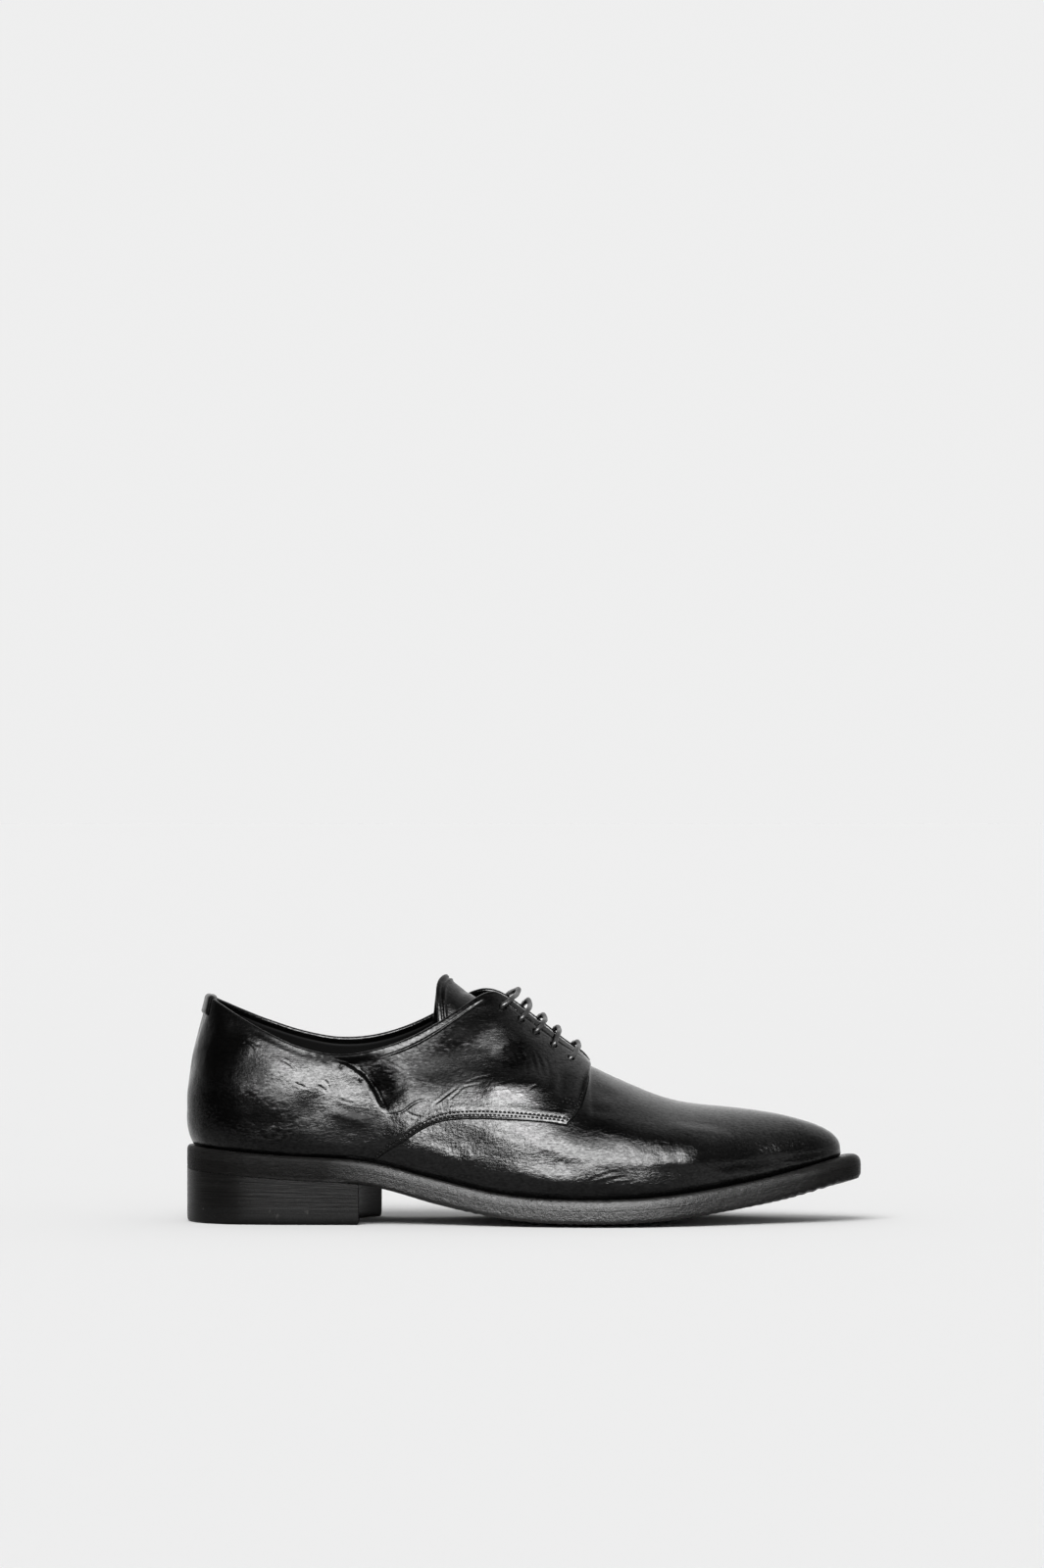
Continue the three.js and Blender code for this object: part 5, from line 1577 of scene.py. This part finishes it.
def heel_leather(name):
    """Stacked leather lifts: fine level lines, waxed, a little brighter along them."""
    m = Nodes(name, Specular_IOR_Level=0.05, IOR=1.5)
    lines = m.noise(m.scaled((26, 26, 5200)), 5.0, 0.65)
    broad = m.noise(m.scaled((14, 14, 900)), 3.0, 0.5)
    nicks = m.noise(m.scaled((900, 900, 2200)), 3.0, 0.6)
    both = m.math("ADD", m.math("MULTIPLY", lines, 0.65), m.math("MULTIPLY", broad, 0.35))
    tone = m.ramp(both, [(0.35, (0.0028, 0.0027, 0.0026)), (0.62, (0.008, 0.0077, 0.0074)), (0.75, (0.018, 0.0174, 0.0168))])
    tone = m.mix(m.ramp(nicks, [(0.66, 0.0), (0.74, 0.6)]), tone, (0.055, 0.053, 0.050))
    n = m.bump(lines, 0.45, 0.00016)
    n = m.bump(nicks, 0.15, 0.00015, n)
    return m.finish(tone, m.ramp(both, [(0.3, 0.22), (0.7, 0.34)]), n)


def lift_rubber(name):
    m = Nodes(name, Specular_IOR_Level=0.05, IOR=1.5)
    grit = m.noise(m.scaled((1700, 1700, 1700)), 4.0, 0.65)
    lines = m.noise(m.scaled((40, 40, 2400)), 3.0, 0.55)
    tone = m.ramp(grit, [(0.35, (0.004, 0.004, 0.004)), (0.7, (0.011, 0.0108, 0.0105))])
    tone = m.mix(m.ramp(m.noise(m.scaled((420, 420, 260)), 3.0, 0.6), [(0.64, 0.0), (0.75, 0.5)]), tone, (0.07, 0.068, 0.064))
    n = m.bump(grit, 0.25, 0.00015)
    n = m.bump(lines, 0.25, 0.0001, n)
    return m.finish(tone, m.ramp(lines, [(0.3, 0.26), (0.7, 0.40)]), n)


def lace_cord(name):
    m = Nodes(name, Specular_IOR_Level=0.45, IOR=1.5)
    fibre = m.noise(m.scaled((3600, 3600, 3600)), 4.0, 0.7)
    twist = m.noise(m.scaled((900, 900, 900), (0.0, 0.7, 0.0)), 2.0, 0.5)
    tone = m.ramp(fibre, [(0.3, (0.004, 0.004, 0.0042)), (0.75, (0.014, 0.0138, 0.0135))])
    n = m.bump(fibre, 0.5, 0.00012)
    n = m.bump(twist, 0.2, 0.0002, n)
    return m.finish(tone, m.ramp(fibre, [(0.3, 0.28), (0.7, 0.45)]), n)


def thread(name):
    m = Nodes(name, Specular_IOR_Level=0.06, IOR=1.5)
    ply = m.noise(m.scaled((5200, 5200, 5200)), 3.0, 0.6)
    tone = m.ramp(ply, [(0.3, (0.0016, 0.0016, 0.0016)), (0.7, (0.006, 0.0058, 0.0056))])
    return m.finish(tone, m.ramp(ply, [(0.3, 0.32), (0.7, 0.5)]), m.bump(ply, 0.4, 0.0001))


# ---- the shoe ----
leather = polished_leather("calf_polished", gloss=[(-0.05, 0.85), (0.05, 0.88), (0.09, 1.05), (0.14, 1.15)], dull_and_shade_zones=[
    # the duller places, less polished and also painted darker to stand for shade: the creased middle, the pocket of the
    # fold, beside and above the lacing, the lower half of the counter, and along the top and front edges
    ((0.0770, -0.030, 0.0715), (0.040, 0.05, 0.023), (0, -0.30, 0), 0.72),
    ((0.0505, -0.030, 0.0650), (0.018, 0.05, 0.0120), (0, 0.87, 0), 0.96),
    ((0.1095, -0.030, 0.0762), (0.014, 0.05, 0.016), (0, 0, 0), 0.95),
    ((0.0890, -0.030, 0.0872), (0.036, 0.05, 0.0130), (0, -0.52, 0), 0.88),
    ((0.0395, -0.030, 0.0475), (0.021, 0.05, 0.0095), (0, 0.30, 0), 0.62),
    ((-0.0100, -0.030, 0.0500), (0.056, 0.05, 0.022), (0, 0.27, 0), 0.93),
    ((-0.0060, -0.030, 0.0880), (0.030, 0.05, 0.0090), (0, 0.42, 0), 0.80),
    ((0.0340, -0.030, 0.0748), (0.036, 0.05, 0.0075), (0, 0.02, 0), 0.88),
    ((-0.0080, -0.030, 0.0700), (0.020, 0.05, 0.0160), (0, 0.4, 0), 0.55),
    ((0.1410, -0.030, 0.0600), (0.0042, 0.05, 0.021), (0, 0.24, 0), 0.92)])
leather_vamp = polished_leather("calf_vamp", rough=(0.11, 0.23), streak=0.9,
                                gloss=[(0.05, 1.0), (0.115, 0.95), (0.150, 0.70), (0.176, 0.80), (0.197, 1.3), (0.225, 1.55), (0.27, 1.2)],
                                # duller along the instep, the lost gloss also painting shade there
                                dull_and_shade_zones=[((0.1720, -0.012, 0.0625), (0.040, 0.05, 0.0095), (0, 0.42, 0), 0.45)])
leather_tongue = polished_leather("calf_tongue", rough=(0.18, 0.30), streak=0.6, level=0.15, gloss=[(0.0, 1.0), (0.2, 1.0)])
leather_tab = polished_leather("calf_tab", rough=(0.20, 0.34), streak=0.5, level=0.20, gloss=[(-0.05, 1.0), (0.05, 1.0)])
lining_mat = lining_leather("lining_leather")
midsole_mat = sole_edge("welt_edge", 0.006)
outsole_mat = sole_edge("sole_edge")
heel_mat = heel_leather("stacked_leather")
rubber_mat = lift_rubber("lift_rubber")
cord_mat = lace_cord("waxed_cord")
thread_mat = thread("thread")

quarter_l, grid_l = make_quarter(-1, 430, 190, "quarter_lateral", leather)
quarter_m, grid_m = make_quarter(1, 240, 105, "quarter_medial", leather)
vamp = make_vamp("vamp", leather_vamp)
lining = make_lining("lining", lining_mat)
tongue = make_tongue("tongue_flap", leather_tongue)
tab = make_tab("heel_tab", leather_tab)
stitches_l = seam_stitches(grid_l, -1, "stitches_lateral", thread_mat)
stitches_m = seam_stitches(grid_m, 1, "stitches_medial", thread_mat)
midsole = make_midsole("welt_and_midsole", midsole_mat)
outsole = make_outsole("outsole_body", outsole_mat)
stack, lift = make_heel("heel_lifts", "heel_rubber", heel_mat, rubber_mat)
sock = make_sock("sock_lining", lining_mat)

for piece in (quarter_l, quarter_m, vamp, lining, tab, stitches_l, stitches_m):
    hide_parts("upper")
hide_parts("tongue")
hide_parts("insole")
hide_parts("midsole_welt")
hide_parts("outsole")
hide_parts("heel_stack")
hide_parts("heel_top_lift")

for i in range(5):
    mesh = Mesh()
    path = resample(lace_path(i), 0.45)
    tube(mesh, path, LACE_R * 1.1, around=18, twist=5.2, strands=3, depth=0.10)
    bar = mesh.build("lace_" + str(i + 1), cord_mat)
    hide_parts("lace_bar_" + str(i + 1))

# ---- floor, light ----
bm = bmesh.new()
bmesh.ops.create_grid(bm, x_segments=2, y_segments=2, size=30)
floor_mesh = bpy.data.meshes.new("floor")
bm.to_mesh(floor_mesh)
bm.free()
floor = bpy.data.objects.new("floor", floor_mesh)
bpy.context.scene.collection.objects.link(floor)
floor_mat = Nodes("pale_floor", Specular_IOR_Level=0.0)
floor_mat.shader.inputs["Base Color"].default_value = (0.80, 0.80, 0.80, 1)
floor_mat.shader.inputs["Roughness"].default_value = 1.0
floor.data.materials.append(floor_mat.mat)

world = bpy.data.worlds.new("studio")
bpy.context.scene.world = world
world.use_nodes = True
wt = world.node_tree
bg = next(n for n in wt.nodes if n.type == "BACKGROUND")


def world_node(kind, **props):
    node = wt.nodes.new(kind)
    for key, value in props.items():
        setattr(node, key, value)
    return node


# A white room behind and to the right of the shoe, dark on the side it is looked at from;
# seen directly it is plain and pale all round.
sep = world_node("ShaderNodeSeparateXYZ")
wt.links.new(world_node("ShaderNodeTexCoord").outputs["Generated"], sep.inputs[0])
side_on = world_node("ShaderNodeMath", operation="MULTIPLY_ADD")
wt.links.new(sep.outputs["X"], side_on.inputs[0])
side_on.inputs[1].default_value = 0.3
wt.links.new(sep.outputs["Y"], side_on.inputs[2])
room = world_node("ShaderNodeMapRange", interpolation_type="SMOOTHSTEP")
wt.links.new(side_on.outputs[0], room.inputs["Value"])
for key, value in (("From Min", -0.40), ("From Max", 0.55), ("To Min", 0.02), ("To Max", 1.15)):
    room.inputs[key].default_value = value
high = world_node("ShaderNodeMapRange", interpolation_type="SMOOTHSTEP")
wt.links.new(sep.outputs["Z"], high.inputs["Value"])
for key, value in (("From Min", 0.25), ("From Max", 0.8), ("To Min", 1.0), ("To Max", 1.2)):
    high.inputs[key].default_value = value
both = world_node("ShaderNodeMath", operation="MULTIPLY")
wt.links.new(room.outputs["Result"], both.inputs[0])
wt.links.new(high.outputs["Result"], both.inputs[1])
direct = world_node("ShaderNodeMix")
path_kind = world_node("ShaderNodeLightPath")
wt.links.new(path_kind.outputs["Is Camera Ray"], direct.inputs[0])
matt = world_node("ShaderNodeMix")
wt.links.new(path_kind.outputs["Is Diffuse Ray"], matt.inputs[0])
wt.links.new(both.outputs[0], matt.inputs[2])
matt.inputs[3].default_value = 0.50
wt.links.new(matt.outputs[0], direct.inputs[2])
direct.inputs[3].default_value = 0.86
wt.links.new(direct.outputs[0], bg.inputs["Strength"])
bg.inputs["Color"].default_value = (1, 1, 1, 1)


def lamp(name, place, aim, size, power, colour=(1, 1, 1)):
    data = bpy.data.lights.new(name, "AREA")
    data.shape = "RECTANGLE"
    data.size, data.size_y = size
    data.energy = power
    data.color = colour
    obj = bpy.data.objects.new(name, data)
    bpy.context.scene.collection.objects.link(obj)
    obj.location = place
    obj.rotation_euler = (Vector(aim) - Vector(place)).to_track_quat("-Z", "Y").to_euler()
    return obj


# long softbox low on the camera's side; it lights the gloss only, so the floor stays even
soft = lamp("softbox", (0.30, -2.10, 0.84), (0.11, 0, 0.06), (2.5, 1.16), 320)
soft.visible_diffuse = False
upper = lamp("softbox_upper", (0.30, -1.86, 1.62), (0.11, 0, 0.06), (2.4, 0.70), 62)
upper.visible_diffuse = False
# even light from above for everything matt
sun_data = bpy.data.lights.new("overhead", "SUN")
sun_data.energy = 2.3
sun_data.angle = math.radians(40)
sun = bpy.data.objects.new("overhead", sun_data)
bpy.context.scene.collection.objects.link(sun)
sun.rotation_euler = Vector((0.22, 0.62, -0.80)).to_track_quat("-Z", "Y").to_euler()
sun.visible_glossy = False

bpy.context.scene.view_settings.view_transform = "Standard"
bpy.context.scene.view_settings.look = "None"
